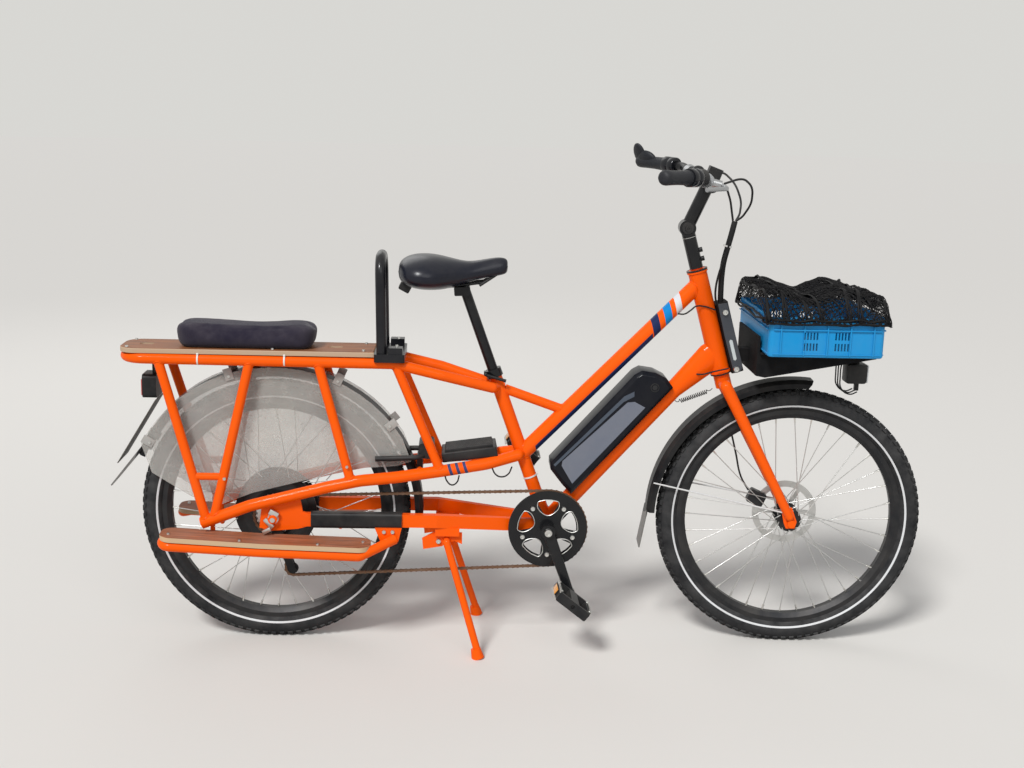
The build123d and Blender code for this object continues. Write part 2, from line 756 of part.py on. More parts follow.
def tangent(one, two):
    dx = two[0] - one[0]
    dz = two[1] - one[1]
    gap = math.hypot(dx, dz)
    lean = math.asin((one[3] * one[2] - two[3] * two[2]) / gap)
    base = math.atan2(dz, dx)
    normal = base + lean - math.pi / 2
    nx = math.cos(normal)
    nz = math.sin(normal)
    a = (one[0] + one[3] * one[2] * nx, one[1] + one[3] * one[2] * nz)
    b = (two[0] + two[3] * two[2] * nx, two[1] + two[3] * two[2] * nz)
    return a, b


half_h = chain_h / 2
guide_r = 14.0
guide_a = (14.0, axle_z - 70.5)
guide_b = (44.0, axle_z - 136.5)
wheels = [
    (bb_at[0], bb_at[2], ring_r + chain_gap + half_h, 1),
    (0.0, axle_z, sprocket_r + chain_gap + half_h, 1),
    (guide_a[0], guide_a[1], guide_r + half_h, -1),
    (guide_b[0], guide_b[1], guide_r + half_h, 1),
]
edges = []
joins = [tangent(wheels[i], wheels[(i + 1) % 4]) for i in range(4)]
for i in range(4):
    into = joins[i - 1][1]
    out = joins[i][0]
    x, z, r, sense = wheels[i]
    start = math.atan2(into[1] - z, into[0] - x)
    stop = math.atan2(out[1] - z, out[0] - x)
    span = (stop - start) * sense % (2 * math.pi)
    mid_turn = start + sense * span / 2
    middle = (x + r * math.cos(mid_turn), z + r * math.sin(mid_turn))
    edges.append(ThreePointArc(into, middle, out))
    edges.append(Line(out, joins[i][1]))
line = Wire(edges)
band_face = make_face(line)
chain_plane = Plane(origin=(0, chain_y - chain_w / 2, 0), x_dir=(1, 0, 0), z_dir=(0, -1, 0))
outer = offset(band_face, half_h)
inner = offset(band_face, -half_h)
chain = extrude(chain_plane * (outer - inner), amount=-chain_w)
nodes["chain"] = chain

# Derailleur with its guide wheels

cage_table = [(4, -62.5), (26, -62.5), (54, -142.5), (44, -148.5), (34, -142.5)]
cage = [(x, axle_z + up) for x, up in cage_table]
derail = box(-4, 22, -dropout_in_y, -61, axle_z - 80.5, axle_z - 10.5)
derail += rod((8, -66, guide_a[1]), (guide_a[0], -44, guide_a[1]), 5)
derail += slab(cage, -61, -58, 3)
derail += slab(cage, -47, -44.5, 3)
for x, z in (guide_a, guide_b):
    derail += drum(x, z, -60, -45, 5)
    derail += drum(x, z, chain_y - 1.5, chain_y + 1.5, guide_r)
nodes["rear_derailleur"] = biggest(derail - stays - chain)

# Centre stand

stand = drum(stand_at[0], stand_at[2], -stand_top_y, stand_top_y, stand_r)
foot_low = (stand_foot_x, -stand_foot_y, floor_z + 12)
leg = rod((stand_at[0], -stand_top_y, stand_at[2]), foot_low, stand_r)
leg += Pos(stand_at[0], -stand_top_y, stand_at[2]) * Sphere(stand_r)
leg += cone((stand_foot_x, -stand_foot_y, floor_z), (stand_foot_x - 6, -stand_foot_y + 2, floor_z + 24), 16, 12)
nodes["centre_stand"] = stand + both(leg)

# Fork

crown_at = on_axis(-cup_h - 22)
fork = rod(on_axis(-cup_h - 30), on_axis(axis_len + cup_h + 20), steerer_r)
fork += rod(on_axis(-cup_h - 34), on_axis(-cup_h - 1), 20)
fork += rod((crown_at[0], -60, crown_at[2]), (crown_at[0], 60, crown_at[2]), 14)
leg_top = (crown_at[0], -60, crown_at[2])
leg_low = (wheelbase - 6, -60, axle_z + 18)
fork_leg = cone(leg_top, leg_low, 15, 11) + Pos(*leg_top) * Sphere(15) + Pos(*leg_low) * Sphere(11)
tip_points = [(-26, 34), (0, 40), (14, 4), (10, -14), (-12, -14), (-18, 0)]
fork_leg += slab([(wheelbase + x, axle_z + z) for x, z in tip_points], -57, -50.5)
fork += both(fork_leg)
fork += drum(wheelbase, axle_z, -64, 64, axle_r)
fork += both(drum(wheelbase, axle_z, -66, -57, 10))
nodes["fork"] = turned(fork)

# Stem with its knuckle, bar and grips

knuckle = on_axis(axis_len + 112)
quill = rod(on_axis(axis_len + cup_h + 3), knuckle, 16.5)
quill += drum(knuckle[0], knuckle[2], -20, 20, 20)
stem_top = (head_high[0] + 8.2, 0, head_high[2] + 200.2)
bar = bent(bar_path, 40, bar_r)
stem = quill + rod(knuckle, stem_top, 16)
stem += drum(bar_path[2][0], bar_path[2][2], -24, 24, 19)
for s in (30, 52):
    near = on_axis(axis_len + s)
    stem += rod(near, on_axis(axis_len + s, 24), 6)
stem -= rod(on_axis(axis_len - 5), on_axis(axis_len + cup_h + 20), steerer_r)
nodes["stem"] = turned(stem - bar)
nodes["handlebar"] = turned(bar)
grip_end = along(bar_path[0], bar_path[1], 0.06)
grip_in = along(bar_path[0], bar_path[1], 0.83)
grip = rod(grip_end, grip_in, grip_r) + Pos(*grip_end) * Sphere(grip_r)
nodes["grips"] = turned(both(grip - bar))

# Brake levers, twist ring, display and bell

lever_at = along(bar_path[1], bar_path[2], 0.33)
bar_dir = Vector(*bar_path[2]) - Vector(*bar_path[1])
ring_plane = Plane(origin=along(bar_path[1], bar_path[2], 0.26), z_dir=bar_dir)
lever = extrude(ring_plane * Circle(17), amount=20)
lever += rod(lever_at, (lever_at[0] + 34, lever_at[1] - 4, lever_at[2] - 8), 9)
lever += bent(
    [
        (lever_at[0] + 32, lever_at[1] + 4, lever_at[2] - 8),
        (lever_at[0] + 44, lever_at[1] - 40, lever_at[2] - 14),
        (lever_at[0] - 14, lever_at[1] - 118, lever_at[2] - 12),
    ],
    30,
    5.0,
)
nodes["brake_levers"] = turned(both(biggest(lever - bar)))
twist_plane = Plane(origin=along(bar_path[0], bar_path[1], 0.85), z_dir=Vector(*bar_path[1]) - Vector(*bar_path[0]))
twist = extrude(twist_plane * Circle(20), amount=19) - bar
bell_at = along(bar_path[4], bar_path[3], 0.66)
show = box(-12, 20, -62, -30, 13, 43).rotate(Axis((4, 0, 27), (0, 1, 0)), 20)
show = Pos(bar_path[2][0], 0, bar_path[2][2]) * show
show += drum(bar_path[2][0], bar_path[2][2], -58, -34, 17)
bell = Pos(bell_at[0], bell_at[1], bell_at[2] + 10) * (Sphere(18) & Pos(0, 0, 18) * Box(60, 60, 36))
bell += rod((bell_at[0], bell_at[1], bell_at[2]), (bell_at[0], bell_at[1], bell_at[2] + 12), 6)
nodes["bar_fittings"] = turned(biggest(twist) + biggest(show - bar) + biggest(bell - bar))

# Front mudguard with stays and flap

front_guard = guard_ring(wheelbase, front_guard_in_r, 33)
front_wedge = [(0, 0), (-408, 9.5), (-408, 567.5), (190, 567.5), (10, 322)]
front_guard &= slab([(wheelbase + x, axle_z + up) for x, up in front_wedge], -60, 60)
crown_gap = math.dist(crown_at, (wheelbase, 0, axle_z)) - front_guard_in_r - guard_t / 2
crown_share = crown_gap / math.dist(crown_at, (wheelbase, 0, axle_z))
front_guard += rod(crown_at, along(crown_at, (wheelbase, 0, axle_z), crown_share), 9)
brace_turn = math.radians(165.8)
brace_x = wheelbase + front_guard_in_r * math.cos(brace_turn)
brace_z = axle_z + front_guard_in_r * math.sin(brace_turn)
front_guard += both(rod((brace_x, -34, brace_z), (wheelbase - 12, -59, axle_z + 26), 2))
front_end = wheelbase - front_guard_in_r - guard_t
front_flap = [(front_end, 13.5), (front_end - 16, -84.5), (front_end - 13, -84.5), (front_end + 3, 13.5)]
front_guard += slab([(x, axle_z + up) for x, up in front_flap], -33, 33)
front_guard = biggest(front_guard - fork)
nodes["front_mudguard"] = turned(front_guard)

# Front rack on the head tube, with crate, net and lamp

block_plane = Plane(origin=on_axis(79, head_r + 15), x_dir=axis_fwd, z_dir=axis_up)
rack = extrude(block_plane * RectangleRounded(30, 52, 6), amount=89, both=True)
plate_z1 = crate_z0 - fit_gap
plate_z0 = plate_z1 - rack_plate_t
rack += box(crate_x0 - 54, crate_x0 + 4, -16, 16, crate_z0 - 39, crate_z0 - 7)
rack += box(crate_x0 - 6, crate_x1 + 4, -118, 118, plate_z0, plate_z1)
side_line = [
    (crate_x0 - 12, crate_z0 - 57),
    (crate_x0 + 10, crate_z0 - 61),
    (crate_x1 + 2, crate_z0 - 11),
    (crate_x1 + 2, crate_z0 - 3),
    (crate_x0 - 12, crate_z0 - 3),
]
rack += both(slab(side_line, -108, -104))
rack += box(crate_x0 - 12, crate_x0 - 6, -108, 108, crate_z0 - 57, crate_z0 + 39)
nodes["front_rack"] = biggest(rack - head_solid - cups)
crate_z1 = crate_z0 + crate_h
crate = box(crate_x0, crate_x1, -crate_half_w, crate_half_w, crate_z0, crate_z1)
crate = fillet(crate.edges().filter_by(Axis.Z), 12)
crate = fillet(crate.edges().group_by(Axis.Z)[0], 5)
hollow = box(
    crate_x0 + crate_t,
    crate_x1 - crate_t,
    crate_t - crate_half_w,
    crate_half_w - crate_t,
    crate_z0 + crate_t,
    crate_z1 + 9,
)
crate -= fillet(hollow.edges().filter_by(Axis.Z), 9)
rim_out = box(crate_x0 - 7, crate_x1 + 7, -crate_half_w - 7, crate_half_w + 7, crate_z1 - 14, crate_z1 - 10)
rim_out = fillet(rim_out.edges().filter_by(Axis.Z), 16)
rim_hole = box(crate_x0 + 1, crate_x1 - 1, 1 - crate_half_w, crate_half_w - 1, crate_z1 - 20, crate_z1)
crate += rim_out - rim_hole
rib_table = [0.1, 0.3, 0.5, 0.7, 0.9]
for t in rib_table:
    x = crate_x0 + (crate_x1 - crate_x0) * t
    crate += both(box(x - 1.5, x + 1.5, -crate_half_w - 4, -crate_half_w + 1, crate_z0 + 6, crate_z1 - 12))
slot_cols = (0.36, 0.63)
slot_rows = (26.0, 52.0)
slots = None
for t in slot_cols:
    for up in slot_rows:
        for i in range(5):
            x = crate_x0 + (crate_x1 - crate_x0) * t + (i - 2) * 7.5
            slot = box(x - 2, x + 2, -200, 200, crate_z0 + up - 9, crate_z0 + up + 9)
            slots = slot if slots is None else slots + slot
crate -= slots
nodes["crate"] = crate
# Net lying in low folds: ahead of the crate's rear wall, above its rim
net_table = [
    (-8, 0),
    (-12, 30),
    (4, 52),
    (36, 48),
    (72, 26),
    (112, 24),
    (146, 48),
    (196, 50),
    (222, 28),
    (258, 32),
    (292, 20),
    (294, 4),
    (286, 0),
]
net_line = [(crate_x0 + x, crate_z1 + fit_gap + up) for x, up in net_table]
net_half_w = crate_half_w + 4
net = slab(net_line, -net_half_w, net_half_w)
net_hull = box(crate_x0 - 40, crate_x1 + 40, -net_half_w, net_half_w, crate_z1, crate_z1 + 60)
net_hull = chamfer(net_hull.edges().filter_by(Axis.X).group_by(Axis.Z)[-1], 34)
nodes["cargo_net"] = net & net_hull
lamp_x = crate_x1 - 58
lamp_z = crate_z0 - 67
head_lamp = rod((lamp_x, 0, lamp_z), (lamp_x + 50, 0, lamp_z), 26)
head_lamp = fillet(head_lamp.edges().group_by(Axis.X)[0], 12)
head_lamp += box(lamp_x + 14, lamp_x + 34, -9, 9, lamp_z + 22, plate_z0)
wire_x0 = lamp_x + 28
wire_x1 = lamp_x + 60
wire_up = 31.0
for side in (-20, 0, 20):
    wire = [(wire_x0, wire_up), (wire_x1, wire_up), (wire_x1, -wire_up), (wire_x0, -wire_up)]
    head_lamp += bent([(x, side, lamp_z + up) for x, up in wire], 12, 1.8)
for up in (-wire_up, wire_up):
    head_lamp += rod((wire_x0, -21, lamp_z + up), (wire_x0, 21, lamp_z + up), 2.4)
head_lamp += rod((wire_x0, 0, lamp_z - wire_up), (wire_x0, 0, lamp_z - 16), 2.4)
nodes["headlamp"] = head_lamp

# Brake calipers and steering spring

front_cal = box(-104, -60, 30, 49.5, -16, 20)
front_cal = fillet(front_cal.edges().filter_by(Axis.Y), 5)
front_cal -= drum(0, 0, front_disc_y - 5 - disc_t / 2, front_disc_y + 5 + disc_t / 2, disc_r + 5)
front_cal = Pos(wheelbase, 0, axle_z) * front_cal.rotate(Axis.Y, 24)
front_cal += rod((wheelbase - 70, 50, axle_z + 60), (wheelbase - 60, 60, axle_z + 118), 7)
nodes["front_caliper"] = turned(biggest(front_cal - fork))

rear_cal = box(58, 100, 33, 56, 4, 40)
rear_cal = fillet(rear_cal.edges().filter_by(Axis.Y), 5)
rear_cal -= drum(0, 0, rear_disc_y - 5 - disc_t / 2, rear_disc_y + 5 + disc_t / 2, disc_r + 5)
rear_cal += rod((74, 54, 22), (74, dropout_in_y, 22), 6)
rear_cal = Pos(0, 0, axle_z) * rear_cal
nodes["rear_caliper"] = biggest(rear_cal - stays)
spring_low = (head_low[0] - 95.4, 0, head_low[2] - 79.4)
spring = rod((head_low[0] - 107.4, 0, head_low[2] - 67.9), spring_low, 3)
spring += rod(spring_low, (head_low[0] - 23.4, 0, head_low[2] - 53.4), 6.5)
nodes["steering_spring"] = biggest(spring - down_solid)

# Cables from the bar, gathered in one sleeve ahead of the head tube

cable_r = 2.6
# Points are ahead of, beside and above the head's top
sleeve = [
    (83.2, 0, 126.2),
    (77.2, 0, 96.2),
    (70.2, 0, 64.2),
    (62.2, 0, 25.2),
    (59.2, 0, -9.8),
    (58.2, 0, -41.8),
]
right_cable = [
    (28.2, -161.3, 226.7),
    (73.2, -140, 240.2),
    (106.2, -90, 216.2),
    (113.2, -42, 172.2),
    (99.2, -9, 138.2),
    (85.2, -3, 127.2),
]
left_cable = [
    (28.2, 161.3, 226.7),
    (67.2, 142, 236.2),
    (93.2, 92, 210.2),
    (103.2, 44, 170.2),
    (95.2, 10, 142.2),
    (86.2, 4, 127.2),
]
display_cable = [
    (33.2, -46, 218.2),
    (53.2, -34, 208.2),
    (67.2, -16, 176.2),
    (73.2, -6, 150.2),
    (78.2, 0, 128.2),
]


def cord(points, r):
    turns = []
    for a, b, c in zip(points, points[1:], points[2:]):
        run_in = Vector(*b) - Vector(*a)
        run_out = Vector(*c) - Vector(*b)
        half = math.radians(run_in.get_angle(run_out) / 2)
        turns.append(0.45 * min(run_in.length, run_out.length) / math.tan(half))
    print("bend radii", [round(t, 1) for t in turns])
    path = FilletPolyline(*points, radius=turns)
    return sweep(Plane(origin=path @ 0, z_dir=path % 0) * Circle(r), path=path)


sleeve_r = 8.0
routes = [cord(points, cable_r) for points in (right_cable, left_cable, display_cable)]
at_head = Pos(*head_high)
nodes["cable_sleeve"] = turned(at_head * cord(sleeve, sleeve_r))
nodes["bar_cables"] = turned(at_head * Compound(children=routes))

for name, shape in nodes.items():
    moved = Pos(-mid_x, 0, -floor_z) * shape
    export_step(moved, "parts/" + name + ".step")
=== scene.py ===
import bmesh
import bpy
import math
import random
from mathutils import Matrix, Vector


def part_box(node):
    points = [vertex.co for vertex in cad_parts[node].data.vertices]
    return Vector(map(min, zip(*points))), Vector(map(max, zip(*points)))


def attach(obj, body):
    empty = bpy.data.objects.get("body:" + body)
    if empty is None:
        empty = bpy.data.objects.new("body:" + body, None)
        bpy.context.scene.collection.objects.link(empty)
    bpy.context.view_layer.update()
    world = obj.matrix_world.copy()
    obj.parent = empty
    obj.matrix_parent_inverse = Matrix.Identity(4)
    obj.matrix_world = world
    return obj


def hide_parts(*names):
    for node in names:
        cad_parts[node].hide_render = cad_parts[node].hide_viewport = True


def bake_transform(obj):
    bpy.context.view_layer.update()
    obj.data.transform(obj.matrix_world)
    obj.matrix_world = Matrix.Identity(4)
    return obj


# Electric cargo bicycle, dressed piece by piece round its fixed frame
# Metres, +X forward, +Y to the rider's left, +Z up

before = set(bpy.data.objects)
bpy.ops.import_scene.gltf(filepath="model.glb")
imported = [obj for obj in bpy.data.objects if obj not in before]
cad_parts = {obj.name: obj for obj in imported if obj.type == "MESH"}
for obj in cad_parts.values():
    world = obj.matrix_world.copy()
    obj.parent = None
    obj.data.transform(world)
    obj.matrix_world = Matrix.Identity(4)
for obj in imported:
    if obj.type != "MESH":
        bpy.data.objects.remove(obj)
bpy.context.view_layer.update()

# Camera
# It stands on the right of the bicycle, about a person's height above the floor, and looks
# slightly down along the frame with a moderately long lens.
scene = bpy.context.scene
scene.view_settings.view_transform = "Standard"
camera_at = Vector((-0.170, -3.152, 1.337))
camera_lens = 45.88
yaw, pitch, roll = (math.radians(turn) for turn in (2.55, 12.07, 1.56))
view_dir = Vector((math.sin(yaw) * math.cos(pitch), math.cos(yaw) * math.cos(pitch), -math.sin(pitch)))
level_right = Vector((math.cos(yaw), -math.sin(yaw), 0.0))
level_up = level_right.cross(view_dir)
view_right = level_right * math.cos(roll) + level_up * math.sin(roll)
view_up = -level_right * math.sin(roll) + level_up * math.cos(roll)
camera_data = bpy.data.cameras.new("camera")
camera_data.lens = camera_lens
camera_data.sensor_width = 36.0
camera_data.clip_end = 200.0
camera = bpy.data.objects.new("camera", camera_data)
scene.collection.objects.link(camera)
view_axes = Matrix((view_right, view_up, -view_dir)).transposed()
camera.matrix_world = Matrix.Translation(camera_at) @ view_axes.to_4x4()
scene.camera = camera

# Floor, world and lamps
# A plain pale floor that runs out into a pale surround, lit by one large soft light high at the
# rear right, with two weak lamps that fill the shadows from the front and the left.


def new_material(name):
    mat = bpy.data.materials.new(name)
    mat.use_nodes = True
    mat.node_tree.nodes.clear()
    return mat, mat.node_tree


def add_node(tree, kind, *feeds, **options):
    """Adds a node. Lower-case options are its settings, and an input takes a value or a socket."""
    node = tree.nodes.new("ShaderNode" + kind)
    for name in [name for name in options if name.islower()]:
        setattr(node, name, options.pop(name))
    for name, value in [*enumerate(feeds), *options.items()]:
        socket = node.inputs[name.replace("_", " ") if isinstance(name, str) else name]
        if isinstance(value, bpy.types.NodeSocket):
            tree.links.new(value, socket)
        else:
            socket.default_value = value
    return node


def reckon(tree, operation, *feeds, clamp=False):
    """The socket with the outcome of one sum."""
    return add_node(tree, "Math", *feeds, operation=operation, use_clamp=clamp).outputs[0]


def mixed(tree, mask, under, over):
    """One colour laid over another where the mask is 1."""
    under, over = ((*tone, 1) if isinstance(tone, tuple) else tone for tone in (under, over))
    return add_node(tree, "Mix", data_type="RGBA", Factor=mask, A=under, B=over).outputs["Result"]


def new_object(name, data, *materials):
    piece = bpy.data.objects.new(name, data)
    scene.collection.objects.link(piece)
    for mat in materials:
        data.materials.append(mat)
    return piece


def facing(direction, axis="Z", up="Y"):
    """The turn that points an axis along a direction."""
    return direction.to_track_quat(axis, up).to_matrix().to_4x4()


floor_mat, tree = new_material("pale_floor")
floor_dark = (0.660, 0.640, 0.600)
floor_light = (0.700, 0.680, 0.645)
clouds = add_node(tree, "TexNoise", Scale=0.8).outputs["Fac"]
shade = add_node(tree, "BsdfDiffuse", Color=mixed(tree, clouds, floor_dark, floor_light))
add_node(tree, "OutputMaterial", Surface=shade.outputs["BSDF"])
bm = bmesh.new()
bmesh.ops.create_circle(bm, cap_ends=True, segments=96, radius=40.0)
floor_mesh = bpy.data.meshes.new("floor")
bm.to_mesh(floor_mesh)
bm.free()
floor = new_object("floor", floor_mesh, floor_mat)

world = bpy.data.worlds.new("surround")
scene.world = world
world.use_nodes = True
tree = world.node_tree
tree.nodes.clear()
ray = add_node(tree, "LightPath").outputs
mirrored = reckon(tree, "MAXIMUM", ray["Is Glossy Ray"], ray["Is Transmission Ray"])
seen = reckon(tree, "MAXIMUM", ray["Is Camera Ray"], mirrored)
sky_white = (0.93, 0.95, 1.0, 1)
wall_pale = (0.688, 0.682, 0.655, 1)
fill = add_node(tree, "Background", Color=sky_white, Strength=0.40).outputs[0]
backdrop = add_node(tree, "Background", Color=wall_pale, Strength=1.0).outputs[0]
add_node(tree, "OutputWorld", Surface=add_node(tree, "MixShader", seen, fill, backdrop).outputs[0])

sun = bpy.data.lights.new("lamp_sun", "SUN")
sun.energy = 2.7
sun.angle = 0.24
new_object("lamp_sun", sun).matrix_world = facing(Vector((0.36, 0.62, -0.78)), "-Z")
for name, place, width, power in (
    ("lamp_front", (0.9, -3.6, 3.2), 2.6, 30.0),
    ("lamp_left", (-1.6, 3.6, 3.4), 3.0, 24.0),
):
    light = bpy.data.lights.new(name, "AREA")
    light.shape = "DISK"
    light.size = width
    light.energy = power
    aim = Vector((0.0, 0.0, 0.5)) - Vector(place)
    new_object(name, light).matrix_world = Matrix.Translation(place) @ facing(aim, "-Z")

# Steering line
# The fork, bar and front wheel are stored turned a little to the right about the head axis, so
# what is built for them straight ahead is turned with the same matrix.
head_low = Vector((0.4864, 0.0, 0.7069))
head_high = Vector((0.4158, 0.0, 0.9498))
head_up = (head_high - head_low).normalized()
head_ahead = Vector((head_up.z, 0.0, -head_up.x))
steer_rest = Matrix.Rotation(math.radians(-3.2), 4, head_up)
steered = Matrix.Translation(head_low) @ steer_rest @ Matrix.Translation(-head_low)
axle_z = 0.3325
rear_axle = Vector((-0.609, 0.0, axle_z))
front_axle = Vector((0.679, 0.0, axle_z))

# Painted tubes
# Steel tubes in glossy orange with a clear coat, welded together and sprayed in one go. Road
# dust lies on what faces up, and the coat is a little uneven.


def node_group(name, takes, gives):
    """A node group with its sockets, then what it is given and where its outcome goes."""
    group = bpy.data.node_groups.new(name, "ShaderNodeTree")
    for way, sockets in (("INPUT", takes), ("OUTPUT", gives)):
        for socket, kind in sockets.items():
            group.interface.new_socket(socket, in_out=way, socket_type="NodeSocket" + kind)
    return group, group.nodes.new("NodeGroupInput").outputs, group.nodes.new("NodeGroupOutput").inputs


def own_place(tree):
    """Where a point lies in the piece's own coordinates."""
    return add_node(tree, "TexCoord").outputs["Object"]


def mapped(tree, value, low, high, to_low=0.0, to_high=1.0):
    """A value carried from one range to another."""
    ranges = {"From_Min": low, "From_Max": high, "To_Min": to_low, "To_Max": to_high}
    return add_node(tree, "MapRange", Value=value, **ranges).outputs["Result"]


def facing_up(tree):
    """1 on what faces straight up, -1 on what faces down."""
    return add_node(tree, "SeparateXYZ", add_node(tree, "NewGeometry").outputs["Normal"]).outputs["Z"]


# Colour and roughness under a film of dust that gathers on what faces up
dust_film, given, put = node_group(
    "dust_film",
    {"Base": "Color", "Dust": "Color", "Amount": "Float", "Patch": "Float", "Rough": "Float"},
    {"Color": "Color", "Roughness": "Float"},
)
patches = add_node(
    dust_film, "TexNoise", Vector=own_place(dust_film), Scale=given["Patch"], Detail=7.0, Roughness=0.62
).outputs["Fac"]
film = reckon(
    dust_film, "MULTIPLY",
    mapped(dust_film, patches, 0.34, 0.72), mapped(dust_film, facing_up(dust_film), -0.5, 1.0, 0.35, 1.5),
)
film = reckon(dust_film, "MULTIPLY", film, given["Amount"], clamp=True)
duller = reckon(dust_film, "MULTIPLY_ADD", film, 0.5, given["Rough"], clamp=True)
dust_film.links.new(mixed(dust_film, film, given["Base"], given["Dust"]), put["Color"])
dust_film.links.new(duller, put["Roughness"])

# A fine uneven normal, as of sprayed paint, cast metal or moulded plastic
fine_grain, given, put = node_group(
    "fine_grain", {"Scale": "Float", "Strength": "Float"}, {"Normal": "Vector"}
)
grain = add_node(fine_grain, "TexNoise", Vector=own_place(fine_grain), Scale=given["Scale"], Detail=3.0)
bump = add_node(
    fine_grain, "Bump", Strength=given["Strength"], Distance=0.0006, Height=grain.outputs["Fac"]
)
fine_grain.links.new(bump.outputs["Normal"], put["Normal"])
road_dust = (0.36, 0.33, 0.29)


def dusty_shader(tree, base, dust_tone, amount, patch, rough, **sockets):
    """The surface of a material, with its colour and roughness under the dust film."""
    base = base(tree) if callable(base) else (*base, 1)
    film = add_node(
        tree, "Group", node_tree=dust_film, Base=base, Dust=(*dust_tone, 1),
        Amount=amount, Patch=patch, Rough=rough,
    ).outputs
    shader = add_node(
        tree, "BsdfPrincipled", Base_Color=film["Color"], Roughness=film["Roughness"], **sockets
    )
    add_node(tree, "OutputMaterial", Surface=shader.outputs["BSDF"])


def finish(name, base, rough, dust=0.2, patch=14.0, grain=(700.0, 0.15), dust_tone=road_dust, **sockets):
    """A dusty surface: base may be a colour or a function that returns a colour socket."""
    mat, tree = new_material(name)
    skin = add_node(tree, "Group", node_tree=fine_grain, Scale=grain[0], Strength=grain[1])
    sockets = {"Normal": skin.outputs["Normal"], "Specular_IOR_Level": 0.25, **sockets}
    dusty_shader(tree, base, dust_tone, dust, patch, rough, **sockets)
    return mat


def wear(mat, *nodes):
    """Puts a material on carried-over nodes."""
    for node in nodes:
        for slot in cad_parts[node].material_slots:
            slot.material = mat


def band(tree, value, low, high):
    """1 where a value lies between two limits."""
    above = reckon(tree, "GREATER_THAN", value, low)
    return reckon(tree, "MULTIPLY", above, reckon(tree, "LESS_THAN", value, high))


def distance_along(tree, start, direction):
    """How far a point lies from start along direction, in the piece's own coordinates."""
    away = add_node(tree, "VectorMath", own_place(tree), start, operation="SUBTRACT").outputs["Vector"]
    return add_node(tree, "VectorMath", away, direction, operation="DOT_PRODUCT").outputs["Value"]


orange = (0.87, 0.098, 0.0005)
navy = (0.012, 0.022, 0.085)
# Bands round the main tube near the head, slanted, and the dark strip along its underside
main_start = Vector((-0.0049, 0.0, 0.4806))
main_end = Vector((0.4002, 0.0, 0.9002))
main_dir = (main_end - main_start).normalized()
main_up = Vector((-main_dir.z, 0.0, main_dir.x))
band_slant = 0.62
stripe_blue = (0.006, 0.21, 0.55)
stripe_silver = (0.62, 0.63, 0.66)
main_bands = [
    (0.4555, 0.4785, navy),
    (0.4955, 0.5185, stripe_blue),
    (0.5325, 0.5510, stripe_silver),
]
strip_span = (0.05, 0.452)
strip_under = -0.0055


def main_tube_colour(tree):
    across = distance_along(tree, main_start, main_up)
    slanted = distance_along(tree, main_start, main_dir - main_up * band_slant)
    underside = band(tree, across, -0.10, strip_under)
    strip = reckon(tree, "MULTIPLY", underside, band(tree, slanted, *strip_span))
    colour = mixed(tree, strip, orange, navy)
    for low, high, tone in main_bands:
        colour = mixed(tree, band(tree, slanted, low, high), colour, tone)
    return colour


# Three dark bands on each side rail, ahead of the skirt
rail_bands = [(-0.1800, -0.1725), (-0.1610, -0.1535), (-0.1420, -0.1345)]
rail_band_tone = (0.045, 0.055, 0.150)


def rail_colour(tree):
    ahead = distance_along(tree, Vector((0.0, 0.0, 0.455)), Vector((1.0, 0.0, 0.35)))
    colour = orange
    for low, high in rail_bands:
        colour = mixed(tree, band(tree, ahead, low, high), colour, rail_band_tone)
    return colour


paint_look = dict(
    rough=0.34, dust=0.02, patch=9.0, grain=(300.0, 0.05),
    Coat_Weight=0.13, Coat_Roughness=0.08, Specular_IOR_Level=0.04,
)
orange_paint = finish("orange_paint", orange, **paint_look)
wear(
    orange_paint,
    "head_tube", "seat_tube", "down_tube", "rack_loop", "rack_struts", "chainstays",
    "footboard_frames", "fork", "centre_stand", "stand_bracket",
)
wear(finish("main_tube_paint", main_tube_colour, **paint_look), "main_tube")
wear(finish("rail_paint", rail_colour, **paint_look), "side_rails")

# Plain finishes of the other metal and plastic parts
gloss_coat = dict(Coat_Weight=0.25, Coat_Roughness=0.08, Specular_IOR_Level=0.18)
black_paint = finish("black_paint", (0.004, 0.0045, 0.006), 0.26, dust=0.035, **gloss_coat)
black_plastic = finish("black_plastic", (0.008, 0.0085, 0.010), 0.45, dust=0.10, grain=(900.0, 0.3))
black_alloy = finish("black_alloy", (0.026, 0.027, 0.030), 0.38, dust=0.12, Metallic=0.7)
bright_steel = finish(
    "bright_steel", (0.62, 0.62, 0.61), 0.28, dust=0.25, grain=(1200.0, 0.2), Metallic=1.0
)
matt_black = finish(
    "matt_black", (0.005, 0.005, 0.006), 0.72, dust=0.05, grain=(1100.0, 0.4), Specular_IOR_Level=0.08
)
wear(black_paint, "stem", "handlebar", "seat_post", "crank_arms", "chainring")
wear(matt_black, "front_rack")
wear(
    black_plastic,
    "controller_box", "rear_derailleur", "pedal_right", "pedal_left", "bar_fittings", "bar_cables",
    "ring_lock", "rear_lamp", "stay_cover",
)
for wheel in ("front", "rear"):
    wear(black_alloy, wheel + "_hub", wheel + "_caliper", wheel + "_rim")
    wear(bright_steel, wheel + "_disc", wheel + "_spokes")
wear(black_alloy, "brake_levers")
wear(bright_steel, "rear_sprockets", "steering_spring")

# Tyres
# Wide balloon tyres of black rubber, moulded with a low block tread and a pale reflecting ring
# on each wall. The wheels carry them by their beads, and road dust has greyed them.


def spin_profile(bm, profile, steps, closed=False):
    """Turns a section, given as radius and side, about the wheel's own axis."""
    verts = [bm.verts.new((r, side, 0.0)) for r, side in profile]
    pairs = list(zip(verts, verts[1:]))
    if closed:
        pairs.append((verts[-1], verts[0]))
    edges = [bm.edges.new(pair) for pair in pairs]
    bmesh.ops.spin(
        bm, geom=verts + edges, cent=(0, 0, 0), axis=(0, 1, 0), angle=math.tau, steps=steps, use_merge=True
    )


